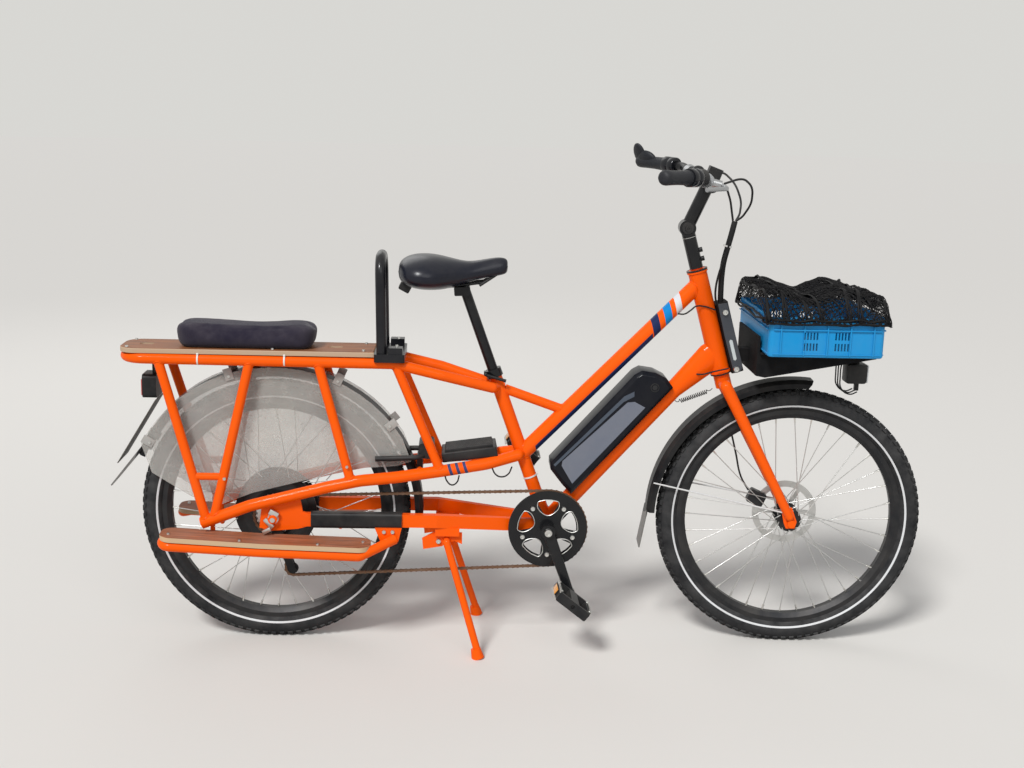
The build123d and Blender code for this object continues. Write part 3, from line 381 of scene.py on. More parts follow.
def make_piece(name, bm, body, slot, *materials, instead=(), place=None, sharp=35.0):
    """Turns a finished bmesh into a piece that rides on a body."""
    if place is not None:
        bmesh.ops.transform(bm, matrix=place, verts=bm.verts)
    bmesh.ops.recalc_face_normals(bm, faces=bm.faces)
    mesh = bpy.data.meshes.new(name)
    bm.to_mesh(mesh)
    bm.free()
    mesh.polygons.foreach_set("use_smooth", [True] * len(mesh.polygons))
    mesh.set_sharp_from_angle(angle=math.radians(sharp))
    obj = new_object(name, mesh, *materials)
    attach(obj, body)
    if instead:
        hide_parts(*instead)
    return obj


wheel_table = [
    ("front", steered @ Matrix.Translation(front_axle), "front_wheel"),
    ("rear", Matrix.Translation(rear_axle), "rear_wheel"),
]
tyre_mid_r = 0.3035
tyre_tube_r = 0.0262
wall_turns = (152, 140, 129, 118, 107, 92, 76, 60, 45, 30, 15, 0)
ring_in_r = 0.2905
ring_out_r = 0.2965
blocks_round = 96
block_size = (0.0065, 0.0082, 0.0118)
block_rows = [(-42.0, 0.5), (-14.0, 0.0), (14.0, 0.5), (42.0, 0.0)]


def on_tyre(turn):
    """Radius and side of the tyre's skin at a turn from the tread's middle."""
    a = math.radians(turn)
    return tyre_mid_r + tyre_tube_r * math.cos(a), tyre_tube_r * math.sin(a)


rubber = finish(
    "tyre_rubber", (0.012, 0.0125, 0.014), 0.70, dust=0.30, patch=26.0, grain=(500.0, 0.35),
    dust_tone=(0.17, 0.165, 0.16),
)
wall_ring = finish("reflecting_ring", (0.66, 0.67, 0.68), 0.35, dust=0.25, patch=30.0)
for label, place, body in wheel_table:
    bm = bmesh.new()
    spin_profile(bm, [on_tyre(turn) for turn in [-t for t in wall_turns] + list(wall_turns[-2::-1])], 160)
    for face in bm.faces:
        mid = face.calc_center_median()
        if ring_in_r < math.hypot(mid.x, mid.z) < ring_out_r and abs(mid.y) > tyre_tube_r / 2:
            face.material_index = 1
    for i in range(blocks_round):
        for lean, shift in block_rows:
            at = (
                Matrix.Rotation(math.tau * (i + shift) / blocks_round, 4, "Y")
                @ Matrix.Translation((*on_tyre(lean), 0))
                @ Matrix.Rotation(math.radians(lean), 4, "Z")
                @ Matrix.Diagonal((*block_size, 1))
            )
            bmesh.ops.create_cube(bm, size=1.0, matrix=at)
    make_piece(
        label + "_tyre_rubber", bm, body, "tyre_rubber", rubber, wall_ring,
        instead=(label + "_tyre",), place=place,
    )

# Rims and spokes
# Black double-wall alloy rims with a bright machined edge, laced with plain steel spokes. Each
# spoke ends in a small nickel nipple in the rim.
rim_edge_r = 0.2870
rim_edge_y = 0.0150
rim_seat_r = 0.2591
spokes_a_side = 18
spoke_step = math.tau / spokes_a_side
nipple_len = 0.014
# Each hub's flange radius, half the width between its flanges, and the spokes' crossings
lacing = {"front": (0.026, 0.030, 3), "rear": (0.096, 0.025, 1)}
nickel = finish("nickel", (0.70, 0.69, 0.66), 0.25, dust=0.15, Metallic=1.0)
for label, place, body in wheel_table:
    flange_r, flange_y, cross = lacing[label]
    bm = bmesh.new()
    for side in (-1, 1):
        in_r, out_r = rim_edge_r - 0.0013, rim_edge_r + 0.0004
        y, far_y = side * rim_edge_y, side * rim_edge_y + side * 0.0009
        spin_profile(bm, [(in_r, y), (out_r, y), (out_r, far_y), (in_r, far_y)], 128, closed=True)
        for i in range(spokes_a_side):
            lead = 1 if i % 2 else -1
            hub_turn = spoke_step * (i + (0.0 if side > 0 else 0.5))
            rim_turn = hub_turn + lead * cross * spoke_step
            hub_y = side * (flange_y + (0.0039 if lead > 0 else -0.00275))
            inner = Vector((flange_r * math.cos(hub_turn), hub_y, flange_r * math.sin(hub_turn)))
            rim_y = side * (0.003 + 0.002 * lead)
            outer = Vector((rim_seat_r * math.cos(rim_turn), rim_y, rim_seat_r * math.sin(rim_turn)))
            run = (inner - outer).normalized()
            bmesh.ops.create_cone(
                bm, cap_ends=True, segments=8, radius1=0.0026, radius2=0.0019, depth=nipple_len,
                matrix=Matrix.Translation(outer + run * nipple_len / 2) @ facing(run),
            )
    make_piece(label + "_nipples", bm, body, "steel", nickel, place=place)

# Deck board
# A 12 mm plywood board stained brown on its faces, with the pale plies showing at the edge. It
# is bolted to the rack tubes and has two finger holes.


def ply_colour(face_tone, edge_tone, edge_low, ply=0.0024):
    """Brown grain on the faces and pale plies at the edge."""

    def colour(tree):
        stretched = add_node(tree, "Mapping", own_place(tree), Scale=(3.0, 60.0, 60.0)).outputs["Vector"]
        grain = add_node(tree, "TexNoise", Vector=stretched, Scale=2.4, Detail=8.0, Distortion=0.6)
        ramp = add_node(tree, "ValToRGB", grain.outputs["Fac"])
        for stop, position, strength in zip(ramp.color_ramp.elements, (0.30, 0.72), (0.55, 1.35)):
            stop.position = position
            stop.color = (*[min(1.0, c * strength) for c in face_tone], 1)
        height = distance_along(tree, Vector((0.0, 0.0, edge_low)), Vector((0.0, 0.0, 1.0 / ply)))
        glue = mapped(tree, reckon(tree, "PINGPONG", height, 0.5), 0.0, 0.5, 0.25, 0.0)
        edge = mixed(tree, glue, edge_tone, tuple(c * 0.35 for c in edge_tone))
        on_face = mapped(tree, reckon(tree, "ABSOLUTE", facing_up(tree)), 0.55, 0.85)
        return mixed(tree, on_face, edge, ramp.outputs["Color"])

    return colour


board_brown = (0.235, 0.078, 0.022)
ply_pale = (0.50, 0.36, 0.24)
deck_ply = ply_colour(board_brown, ply_pale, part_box("deck_board")[0][2])
wear(finish("deck_ply", deck_ply, 0.5, dust=0.10, patch=12.0, grain=(180.0, 0.5)), "deck_board")

# Footboards
# Two long boards of the same stained ply, one on each side, bolted on bent tubes so that a
# passenger can rest the feet. Shoes have left them dusty.
foot_brown = (0.33, 0.105, 0.042)
foot_ply = ply_colour(foot_brown, (0.60, 0.42, 0.25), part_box("footboards")[0][2])
wear(finish("footboard_ply", foot_ply, 0.55, dust=0.14, patch=10.0, grain=(180.0, 0.5)), "footboards")

# Wheel skirts
# Thin clear plastic sheets that keep clothes out of the rear wheel, clipped to the mudguard
# and rails. They are scuffed and powdered with pale dust, so the wheel only shows dimly.
smoked_sheet, tree = new_material("smoked_sheet")
scuffs = add_node(tree, "TexNoise", Vector=own_place(tree), Scale=26.0, Detail=10.0, Roughness=0.78)
veil = mapped(tree, scuffs.outputs["Fac"], 0.3, 0.7, 0.28, 0.42)
dusty_shader(tree, (0.52, 0.51, 0.48), (0.64, 0.61, 0.54), 0.8, 7.0, 0.34, Alpha=veil)
wear(smoked_sheet, "wheel_skirts")

# Deck cushion
# A foam pad in dark purple cloth, strapped on the deck for a passenger. The foam blows the cover
# up a little, and it is creased along its sides.
cushion_low, cushion_high = (Vector(corner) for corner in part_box("deck_cushion"))
cushion_cloth, tree = new_material("cushion_cloth")
place = own_place(tree)
threads = [
    add_node(tree, "TexWave", bands_direction=way, Vector=place, Scale=260.0, Distortion=0.6).outputs["Fac"]
    for way in "XY"
]
weave = add_node(tree, "Bump", Strength=0.5, Distance=0.0006, Height=reckon(tree, "MULTIPLY", *threads))
dusty_shader(
    tree, (0.014, 0.011, 0.024), (0.15, 0.13, 0.14), 0.25, 16.0, 0.8, Normal=weave.outputs["Normal"],
    Specular_IOR_Level=0.15, Sheen_Weight=0.15, Sheen_Roughness=0.5,
)


def round_off(bm, edges, size, steps):
    bmesh.ops.bevel(bm, geom=edges, offset=size, segments=steps, affect="EDGES", profile=0.5, material=-1)


def blow_up(obj, pressure, frames, cap, pinned_below):
    """Lets the cover swell under pressure, held where it rests, by no more than cap."""
    rest = [v.co.copy() for v in obj.data.vertices]
    hold = obj.vertex_groups.new(name="hold")
    hold.add([i for i, co in enumerate(rest) if co.z < pinned_below], 1.0, "REPLACE")
    cloth = obj.modifiers.new("cloth", "CLOTH")
    cloth.settings.quality = 5
    cloth.settings.mass = 0.25
    cloth.settings.use_pressure = True
    cloth.settings.uniform_pressure_force = pressure
    cloth.settings.effector_weights.gravity = 0.0
    cloth.settings.vertex_group_mass = "hold"
    cloth.point_cache.frame_start = 1
    cloth.point_cache.frame_end = frames
    for step in range(1, frames + 1):
        scene.frame_set(step)
    swollen = obj.evaluated_get(bpy.context.evaluated_depsgraph_get()).to_mesh()
    moved = []
    for start, vert in zip(rest, swollen.vertices):
        step = vert.co - start
        if step.length > cap:
            step.length = cap
        moved.append(start + step)
    obj.modifiers.remove(cloth)
    obj.vertex_groups.remove(hold)
    for vert, co in zip(obj.data.vertices, moved):
        vert.co = co
    scene.frame_set(1)


bm = bmesh.new()
swell = 0.005
corner_r = 0.034
edge_r = 0.014
size = cushion_high - cushion_low - Vector((2 * swell, 2 * swell, swell))
middle = (cushion_low + cushion_high) / 2 - Vector((0, 0, swell / 2))
bmesh.ops.create_cube(bm, size=1.0, matrix=Matrix.Translation(middle) @ Matrix.Diagonal((*size, 1)))
slope = {e: abs((e.verts[0].co - e.verts[1].co).normalized().z) for e in bm.edges}
round_off(bm, [e for e in bm.edges if slope[e] > 0.9], corner_r, 6)
slope = {e: abs((e.verts[0].co - e.verts[1].co).normalized().z) for e in bm.edges}
round_off(bm, [e for e in bm.edges if slope[e] < 0.1], edge_r, 4)
cushion = make_piece(
    "cushion", bm, "frame", "cushion_cloth", cushion_cloth, instead=("deck_cushion",), sharp=80.0
)
remesh = cushion.modifiers.new("remesh", "REMESH")
remesh.mode = "VOXEL"
remesh.voxel_size = 0.0055
bpy.context.view_layer.objects.active = cushion
bpy.ops.object.modifier_apply(modifier="remesh")
blow_up(cushion, 4.0, 20, swell, cushion_low.z + 0.004)
# Each crease's place from the rear as a share of the length, its lean and its depth
crease_table = [(0.78, 0.16, 0.9), (0.63, 0.10, 0.6), (0.30, -0.10, 0.5), (0.12, 0.06, 0.7)]
crease_wide = 0.016
for vert in cushion.data.vertices:
    along_x = (vert.co.x - cushion_low.x) / (cushion_high.x - cushion_low.x)
    up = min(1.0, max(0.0, (vert.co.z - cushion_low.z) / (cushion_high.z - cushion_low.z)))
    side = (vert.co.y - middle.y) / (size.y / 2)
    sag = 0.0060 * math.sin(math.pi * min(1.0, max(0.0, along_x))) ** 2 + 0.003 * along_x
    vert.co.z -= sag * up
    tuck = (1 - up) ** 2
    vert.co.x += (0.5 - along_x) * 0.014 * tuck
    vert.co.y -= side * 0.006 * tuck
    fold = 0.0
    for start, lean, depth in crease_table:
        gap = (along_x - start - lean * (1 - up)) / crease_wide
        fold += depth * math.exp(-gap * gap) * (1 - abs(2 * up - 1) * 0.5)
    fold += 0.30 * math.sin(46 * vert.co.x + 31 * vert.co.z) * math.sin(70 * vert.co.z - 12 * vert.co.x)
    if abs(side) > 0.8:
        vert.co.y -= math.copysign(0.0024 * fold, side)
    elif up > 0.8:
        vert.co.z -= 0.0008 * math.sin(38 * vert.co.x + 21 * vert.co.y)
smoother = cushion.modifiers.new("smoother", "SUBSURF")
smoother.levels = smoother.render_levels = 1
cushion.data.polygons.foreach_set("use_smooth", [True] * len(cushion.data.polygons))

# Number plate holder
# A thin sheet plate painted dull dark grey and bolted under the tail lamp. It leans back, and its
# face is plain.
plate_paint = finish(
    "plate_paint", (0.075, 0.072, 0.062), 0.5, dust=0.25, patch=20.0, Specular_IOR_Level=0.1
)
wear(plate_paint, "rear_plate")

# Hoop
# A bent steel tube painted glossy dark blue-black, clamped to the deck behind the saddle for the
# passenger's hands.
wear(finish("hoop_paint", (0.0045, 0.005, 0.008), 0.30, dust=0.04, **gloss_coat), "passenger_hoop")

# Crate
# A bright blue stacking crate moulded in one piece of plastic, with ribs and slots. It is strapped
# on the front rack.
crate_blue = finish("crate_blue", (0.004, 0.250, 0.56), 0.40, dust=0.10, patch=10.0, grain=(240.0, 0.15))
wear(crate_blue, "crate")

# Mudguards
# Bent sheets of black plastic with a rolled lip at each side, bolted at the bridge and the fork.
# Each ends in a soft grey flap that keeps road water off the feet and the lamp.


guard_black = (0.008, 0.0085, 0.010)
flap_grey = (0.16, 0.155, 0.145)
stay_steel = (0.60, 0.60, 0.59)
stay_in_y = 0.0346
flap_below = 0.16


def guard_colour(axle, reach, side_dir):
    """Black, grey on the flap beyond the sheet's outer radius, and bright steel on the stays."""

    def colour(tree):
        split = add_node(tree, "SeparateXYZ", own_place(tree)).outputs
        flat = add_node(tree, "CombineXYZ", X=split["X"], Z=split["Z"]).outputs[0]
        away = add_node(tree, "VectorMath", flat, axle, operation="DISTANCE").outputs["Value"]
        low = band(tree, split["Z"], 0.0, axle.z + flap_below)
        flap = reckon(tree, "MULTIPLY", band(tree, away, reach, 1.0), low)
        aside = reckon(tree, "ABSOLUTE", distance_along(tree, axle, side_dir))
        sheet = mixed(tree, flap, guard_black, flap_grey)
        return mixed(tree, band(tree, aside, stay_in_y, 1.0), sheet, stay_steel)

    return colour


for node, axle, reach, side_dir in (
    ("front_mudguard", steered @ front_axle, 0.3615, steered.to_3x3() @ Vector((0, 1, 0))),
    ("rear_mudguard", rear_axle, 0.3665, Vector((0, 1, 0))),
):
    sheet = guard_colour(axle, reach, side_dir)
    wear(finish(node + "_plastic", sheet, 0.36, dust=0.07, patch=16.0, Specular_IOR_Level=0.10), node)

# Bolts and screws of the frame
# Zinc-plated socket bolts, the same on both sides. They hold the struts' cross piece, the
# footboard plates, the stand's bracket and the head bracket.


def bolt(bm, place, axis, radius):
    """A low socket-headed bolt that stands on a surface."""
    axis = Vector(axis).normalized()
    tall = radius * 0.8
    made = bmesh.ops.create_cone(
        bm, cap_ends=True, segments=16, radius1=radius, radius2=radius * 0.86, depth=tall,
        matrix=Matrix.Translation(Vector(place) + axis * tall / 2) @ facing(axis),
    )
    caps = {f for v in made["verts"] for f in v.link_faces if len(f.verts) > 4}
    top = max(caps, key=lambda f: f.calc_center_median().dot(axis))
    bmesh.ops.inset_region(bm, faces=[top], thickness=radius * 0.34, depth=0.0)
    bmesh.ops.inset_region(bm, faces=[top], thickness=radius * 0.04, depth=-tall * 0.55)


# Places on the right side, and the radius of each head
bolt_table = [
    (-0.7237, -0.0885, 0.4341, 0.0042),
    (-0.4280, -0.0965, 0.4706, 0.0038),
    (-0.3379, -0.0920, 0.3060, 0.0052),
    (-0.3169, -0.0920, 0.3060, 0.0052),
    (-0.2045, -0.0640, 0.2745, 0.0066),
    (0.4840, -0.0290, 0.8566, 0.0075),
    (0.5200, -0.0290, 0.7160, 0.0075),
]
zinc = finish("zinc", (0.66, 0.66, 0.64), 0.3, dust=0.2, patch=60.0, grain=(900.0, 0.2), Metallic=1.0)
bm = bmesh.new()
for x, y, z, radius in bolt_table:
    for side in (1, -1):
        bolt(bm, (x, y * side, z), (0, -side, 0), radius)
make_piece("frame_bolts", bm, "frame", "steel", zinc)

# Skirt tabs
# Clear plastic tabs fold over the skirt's edge at four places on each side, each with one screw
# into the mudguard's lip.


def block(bm, low, high, edge=0.0, place=None):
    """A box between two corners, with rounded edges."""
    low, high = (Vector(corner) for corner in zip(*(sorted(pair) for pair in zip(low, high))))
    at = Matrix.Translation((low + high) / 2) @ Matrix.Diagonal((*(high - low), 1))
    if place is not None:
        at = place @ at
    made = bmesh.ops.create_cube(bm, size=1.0, matrix=at)
    if edge > 0:
        round_off(bm, list({e for v in made["verts"] for e in v.link_edges}), edge, 2)


tab_plastic = finish("tab_plastic", (0.36, 0.35, 0.33), 0.3, dust=0.4, patch=30.0)
tab_table = [(-0.7172, 0.6769), (-0.9115, 0.5088), (-0.4547, 0.6694), (-0.3279, 0.5589)]
tab_y = 0.0372
bm = bmesh.new()
screws = bmesh.new()
for x, z in tab_table:
    turn = math.atan2(z - rear_axle.z, x - rear_axle.x)
    for side in (-1, 1):
        at = Matrix.Translation((x, side * tab_y, z)) @ Matrix.Rotation(math.pi / 2 - turn, 4, "Y")
        block(bm, (-0.0105, -0.0009, -0.010), (0.0105, 0.0009, 0.020), 0.0006, at)
        bolt(screws, (x, side * (tab_y + 0.0010), z), (0, side, 0), 0.0036)
make_piece("skirt_tabs", bm, "frame", "skirt_sheet", tab_plastic)
make_piece("skirt_screws", screws, "frame", "steel", zinc)

# Zip ties
# White nylon ties, each pulled tight through its square head. Two go round the right tube of the
# rack and one round the seat tube.
nylon = finish("white_nylon", (0.72, 0.71, 0.68), 0.4, dust=0.2, patch=40.0)


def join(bm, other, place=None):
    """Adds another bmesh to this one, moved to its place."""
    if place is not None:
        bmesh.ops.transform(other, matrix=place, verts=other.verts)
    mesh = bpy.data.meshes.new("joined")
    other.to_mesh(mesh)
    other.free()
    bm.from_mesh(mesh)
    bpy.data.meshes.remove(mesh)


def tie(bm, radius, place):
    """A flat loop round the local X axis with its square head."""
    out_r, half_wide = radius + 0.0011, 0.0019
    line = [(radius, -half_wide), (out_r, -half_wide), (out_r, half_wide), (radius, half_wide)]
    loop = bmesh.new()
    spin_profile(loop, line, 32, closed=True)
    bmesh.ops.transform(loop, matrix=Matrix.Rotation(math.pi / 2, 4, "Z"), verts=loop.verts)
    block(loop, (-0.0026, -0.0024, radius), (0.0026, 0.0024, radius + 0.0042), 0.0004)
    join(bm, loop, place)


seat_low = Vector((0.066, 0.0, 0.308))
seat_up = Vector((-0.1376, 0.0, 0.3733)).normalized()
bm = bmesh.new()
for x in (-0.786, -0.580):
    tie(bm, 0.0132, Matrix.Translation((x, -0.058, 0.722)) @ Matrix.Rotation(0.5, 4, "X"))
tie(bm, 0.0168, Matrix.Translation(seat_low + seat_up * 0.128) @ facing(seat_up, "X", "Z"))
make_piece("rack_ties", bm, "frame", "black_plastic", nylon)

# Battery
# A glossy black moulded case on a rail on the down tube, with long slanted facets, a plain grey
# panel let into each side and a round lock near its upper end. A bluish grey band along the upper
# part of each side is a painted highlight of the light caught by the top facet.
down_foot = Vector((0.066, 0.0, 0.308))
down_dir = (Vector((0.3720, 0.0, 0.6560)) - down_foot).normalized()
down_up = Vector((-down_dir.z, 0.0, down_dir.x))
case_half = 0.0438
lock_half = 0.0436
case_line = [
    (0.101, 0.012), (0.104, 0.046), (0.113, 0.094), (0.126, 0.1055), (0.428, 0.1055),
    (0.447, 0.099), (0.466, 0.070), (0.474, 0.040), (0.468, 0.012),
]
panel_line = [
    (0.124, 0.031), (0.136, 0.070), (0.140, 0.082), (0.150, 0.0885), (0.366, 0.072), (0.379, 0.060),
    (0.386, 0.031),
]
# Outline of the painted highlight band on each side, just below the top facet
highlight_band_line = [
    (0.128, 0.0925), (0.360, 0.0800), (0.388, 0.0700), (0.397, 0.0785), (0.372, 0.0885), (0.128, 0.0985),
]


def on_down(s, lift, side=0.0):
    return down_foot + down_dir * s + down_up * lift + Vector((0.0, side, 0.0))


def seen_from_side(on_tube, line):
    """X and Z of points that are given along a tube and above it."""
    return [(on_tube(s, lift).x, on_tube(s, lift).z) for s, lift in line]


def plate(bm, outline, y_low, y_high):
    """A flat plate: its outline in X and Z, thick from y_low to y_high."""
    verts = [bm.verts.new((x, y_low, z)) for x, z in outline]
    made = bmesh.ops.extrude_face_region(bm, geom=[bm.faces.new(verts)])
    moved = [part for part in made["geom"] if isinstance(part, bmesh.types.BMVert)]
    bmesh.ops.translate(bm, verts=moved, vec=(0, y_high - y_low, 0))
    return verts + moved


def creases(bm, angle):
    return [e for e in bm.edges if len(e.link_faces) == 2 and e.calc_face_angle(0.0) > angle]


def rod(bm, start, end, radius, end_radius=None, segments=14):
    """A round bar between two points, tapered where it has a second radius."""
    start, end = Vector(start), Vector(end)
    last = radius if end_radius is None else end_radius
    bmesh.ops.create_cone(
        bm, cap_ends=True, segments=segments, radius1=radius, radius2=last, depth=(end - start).length,
        matrix=Matrix.Translation((start + end) / 2) @ facing(end - start),
    )


gloss_black = finish(
    "battery_case", (0.005, 0.006, 0.010), 0.28, dust=0.03, grain=(400.0, 0.08),
    Coat_Weight=0.12, Specular_IOR_Level=0.08,
)
bm = bmesh.new()
plate(bm, seen_from_side(on_down, case_line), -case_half, case_half)
lengthwise = [e for e in bm.edges if abs(e.verts[1].co.y - e.verts[0].co.y) <= 0.01]
round_off(bm, lengthwise, 0.0095, 1)
round_off(bm, creases(bm, 0.2), 0.0016, 2)
make_piece("battery_case", bm, "frame", "black_plastic", gloss_black, instead=("battery",), sharp=28.0)
panel_grey = finish(
    "battery_panel", (0.135, 0.15, 0.19), 0.42, dust=0.15, patch=12.0, grain=(900.0, 0.3)
)
# Painted highlight: the band's bluish grey stands in for light caught by the facet above it
painted_highlight_grey = finish("battery_painted_highlight", (0.060, 0.075, 0.10), 0.30, dust=0.05, grain=(600.0, 0.1))
for name, line, inner, outer, mat in (
    ("battery_panels", panel_line, 0.0436, 0.0444, panel_grey),
    ("battery_painted_highlights", highlight_band_line, 0.0432, 0.0441, painted_highlight_grey),
):
    bm = bmesh.new()
    for side in (-1, 1):
        plate(bm, seen_from_side(on_down, line), *sorted((side * inner, side * outer)))
    make_piece(name, bm, "frame", "black_plastic", mat)
bm = bmesh.new()
for side in (-1, 1):
    centre = on_down(0.438, 0.048, side * lock_half)
    ring = bmesh.new()
    spin_profile(ring, [(0.0085, 0.0), (0.0090, 0.0012), (0.0108, 0.0012), (0.0114, 0.0)], 40)
    join(bm, ring, Matrix.Translation(centre) @ Matrix.Rotation(0.0 if side > 0 else math.pi, 4, "X"))
    rod(bm, centre, centre + Vector((0, side * 0.0009, 0)), 0.0062, segments=28)
make_piece("battery_lock", bm, "frame", "black_plastic", black_alloy)

# Motor controller
# A cast alloy box in black that hangs between the rails behind the seat tube. Nine cooling ribs
# run along its top from end to end.
ctrl_low, ctrl_high = (Vector(corner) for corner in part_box("controller_box"))
ctrl_back = ctrl_low.x + 0.004
rib_count = 9
ctrl_line = [(0.0, 0.470), (0.136, 0.489), (0.131, 0.513), (-0.004, 0.494)]
rib_line = [(0.004, 0.493), (0.124, 0.510), (0.121, 0.5185), (0.006, 0.5025)]
bm = bmesh.new()
plate(bm, [(ctrl_back + x, z) for x, z in ctrl_line], ctrl_low.y, ctrl_high.y)
round_off(bm, bm.edges[:], 0.003, 3)
for i in range(rib_count):
    y = -0.036 + 0.072 * i / (rib_count - 1)
    rib = bmesh.new()
    plate(rib, [(ctrl_back + x, z) for x, z in rib_line], y - 0.0021, y + 0.0021)
    round_off(rib, rib.edges[:], 0.0009, 2)
    join(bm, rib)
make_piece("controller_case", bm, "frame", "black_plastic", black_plastic, instead=("controller_box",))

# Chain
# An outdoor chain gone brown with rust: a roller and two pairs of plates to each link. It runs
# round the chainring, the smallest sprocket and the two guide wheels.
chain_y = -0.053
link_pitch = 0.0127
# Each wheel's place in X and Z, its radius, and the way the chain goes round it
chain_wheels = [
    (0.066, 0.308, 0.0970, 1),
    (-0.609, 0.3325, 0.0500, 1),
    (-0.595, 0.2620, 0.0180, -1),
    (-0.565, 0.1960, 0.0180, 1),
]


def tangent(one, two):
    """Where the chain leaves one wheel and where it meets the next."""
    run_x, run_z = two[0] - one[0], two[1] - one[1]
    lean = math.asin((one[3] * one[2] - two[3] * two[2]) / math.hypot(run_x, run_z))
    normal = math.atan2(run_z, run_x) + lean - math.pi / 2
    step_x, step_z = math.cos(normal), math.sin(normal)
    leave = (one[0] + one[3] * one[2] * step_x, one[1] + one[3] * one[2] * step_z)
    meet = (two[0] + two[3] * two[2] * step_x, two[1] + two[3] * two[2] * step_z)
    return leave, meet


joins = [tangent(chain_wheels[i], chain_wheels[(i + 1) % 4]) for i in range(4)]
chain_line = []
for i, (x, z, r, sense) in enumerate(chain_wheels):
    into, leave = joins[i - 1][1], joins[i][0]
    start = math.atan2(into[1] - z, into[0] - x)
    stop = math.atan2(leave[1] - z, leave[0] - x)
    span = (stop - start) * sense % math.tau
    for step in range(49):
        a = start + sense * span * step / 48
        chain_line.append(Vector((x + r * math.cos(a), chain_y, z + r * math.sin(a))))
chain_line.append(chain_line[0])
reach = [0.0]
for a, b in zip(chain_line, chain_line[1:]):
    reach.append(reach[-1] + (b - a).length)
link_count = 2 * round(reach[-1] / link_pitch / 2)


def on_chain(s):
    for i, (low, high) in enumerate(zip(reach, reach[1:])):
        if low <= s <= high:
            return chain_line[i].lerp(chain_line[i + 1], (s - low) / max(high - low, 1e-9))
    return chain_line[0]


rusty = finish("chain_steel", (0.17, 0.085, 0.045), 0.5, dust=0.35, patch=120.0, Metallic=0.65)
bm = bmesh.new()
pins = [on_chain(reach[-1] * i / link_count) for i in range(link_count)]
for i, pin in enumerate(pins):
    after = pins[(i + 1) % link_count]
    for half_long, radius, sides in ((0.0036, 0.0018, 8), (0.0013, 0.0038, 10)):
        reach_y = Vector((0, half_long, 0))
        rod(bm, pin - reach_y, pin + reach_y, radius, segments=sides)
    side_y = 0.0026 if i % 2 else 0.0018
    run = after - pin
    at = Matrix.Translation((pin + after) / 2) @ Matrix.Rotation(-math.atan2(run.z, run.x), 4, "Y")
    half = run.length / 2 + 0.0034
    waist = [
        (-half, 0.0), (-half + 0.0022, 0.0038), (-0.0022, 0.0027),
        (0.0022, 0.0027), (half - 0.0022, 0.0038), (half, 0.0),
    ]
    outline = waist + [(x, -z) for x, z in waist[-2:0:-1]]
    for side in (-1, 1):
        verts = plate(bm, outline, side * side_y, side * (side_y + 0.0008))
        bmesh.ops.transform(bm, matrix=at, verts=verts)
make_piece("chain_links", bm, "frame", "chain_steel", rusty, instead=("chain",))

# Crank details
# Five silver chainring bolts, a crank bolt at each end of the spindle, and the bright machined
# edge of the guard's five windows.
crank_axle = Vector((0.066, 0.0, 0.308))
guard_face = -0.0612
bolt_ring_r = 0.0655
window_count = 5
window_line = [
    (0.0375, -0.0085), (0.068, -0.0265), (0.0735, -0.015), (0.0752, 0.0), (0.0735, 0.015), (0.068, 0.0265),
    (0.0375, 0.0085),
]


def routed(name, routes, radius, closed=False, rings=2):
    """A mesh of smooth tubes through the given points."""
    curve = bpy.data.curves.new(name, "CURVE")
    curve.dimensions = "3D"
    curve.bevel_depth = radius
    curve.bevel_resolution = rings
    curve.resolution_u = 8
    curve.use_fill_caps = True
    for points in routes:
        spline = curve.splines.new("BEZIER")
        spline.bezier_points.add(len(points) - 1)
        spline.use_cyclic_u = closed
        for knot, place in zip(spline.bezier_points, points):
            knot.co = place
            knot.handle_left_type = knot.handle_right_type = "AUTO"
    holder = new_object(name + "_route", curve)
    graph = bpy.context.evaluated_depsgraph_get()
    mesh = bpy.data.meshes.new_from_object(holder.evaluated_get(graph))
    bpy.data.objects.remove(holder)
    bpy.data.curves.remove(curve)
    bm = bmesh.new()
    bm.from_mesh(mesh)
    bpy.data.meshes.remove(mesh)
    return bm


bm = bmesh.new()
loops = []
for i in range(window_count):
    a = math.radians(54 + 72 * i)
    place = crank_axle + Vector((bolt_ring_r * math.cos(a), guard_face, bolt_ring_r * math.sin(a)))
    bolt(bm, place, (0, -1, 0), 0.0062)
    a = math.radians(18 + 72 * i)
    loops.append([
        crank_axle + Vector((
            x * math.cos(a) - z * math.sin(a), guard_face - 0.0001, x * math.sin(a) + z * math.cos(a),
        ))
        for x, z in window_line
    ])
for side in (-1, 1):
    bolt(bm, crank_axle + Vector((0, side * 0.0880, 0)), (0, side, 0), 0.0105)
make_piece("crank_bolts", bm, "crank", "steel", zinc)
bm = routed("window_edges", loops, 0.0010, closed=True, rings=1)
make_piece("window_edges", bm, "crank", "steel", zinc)

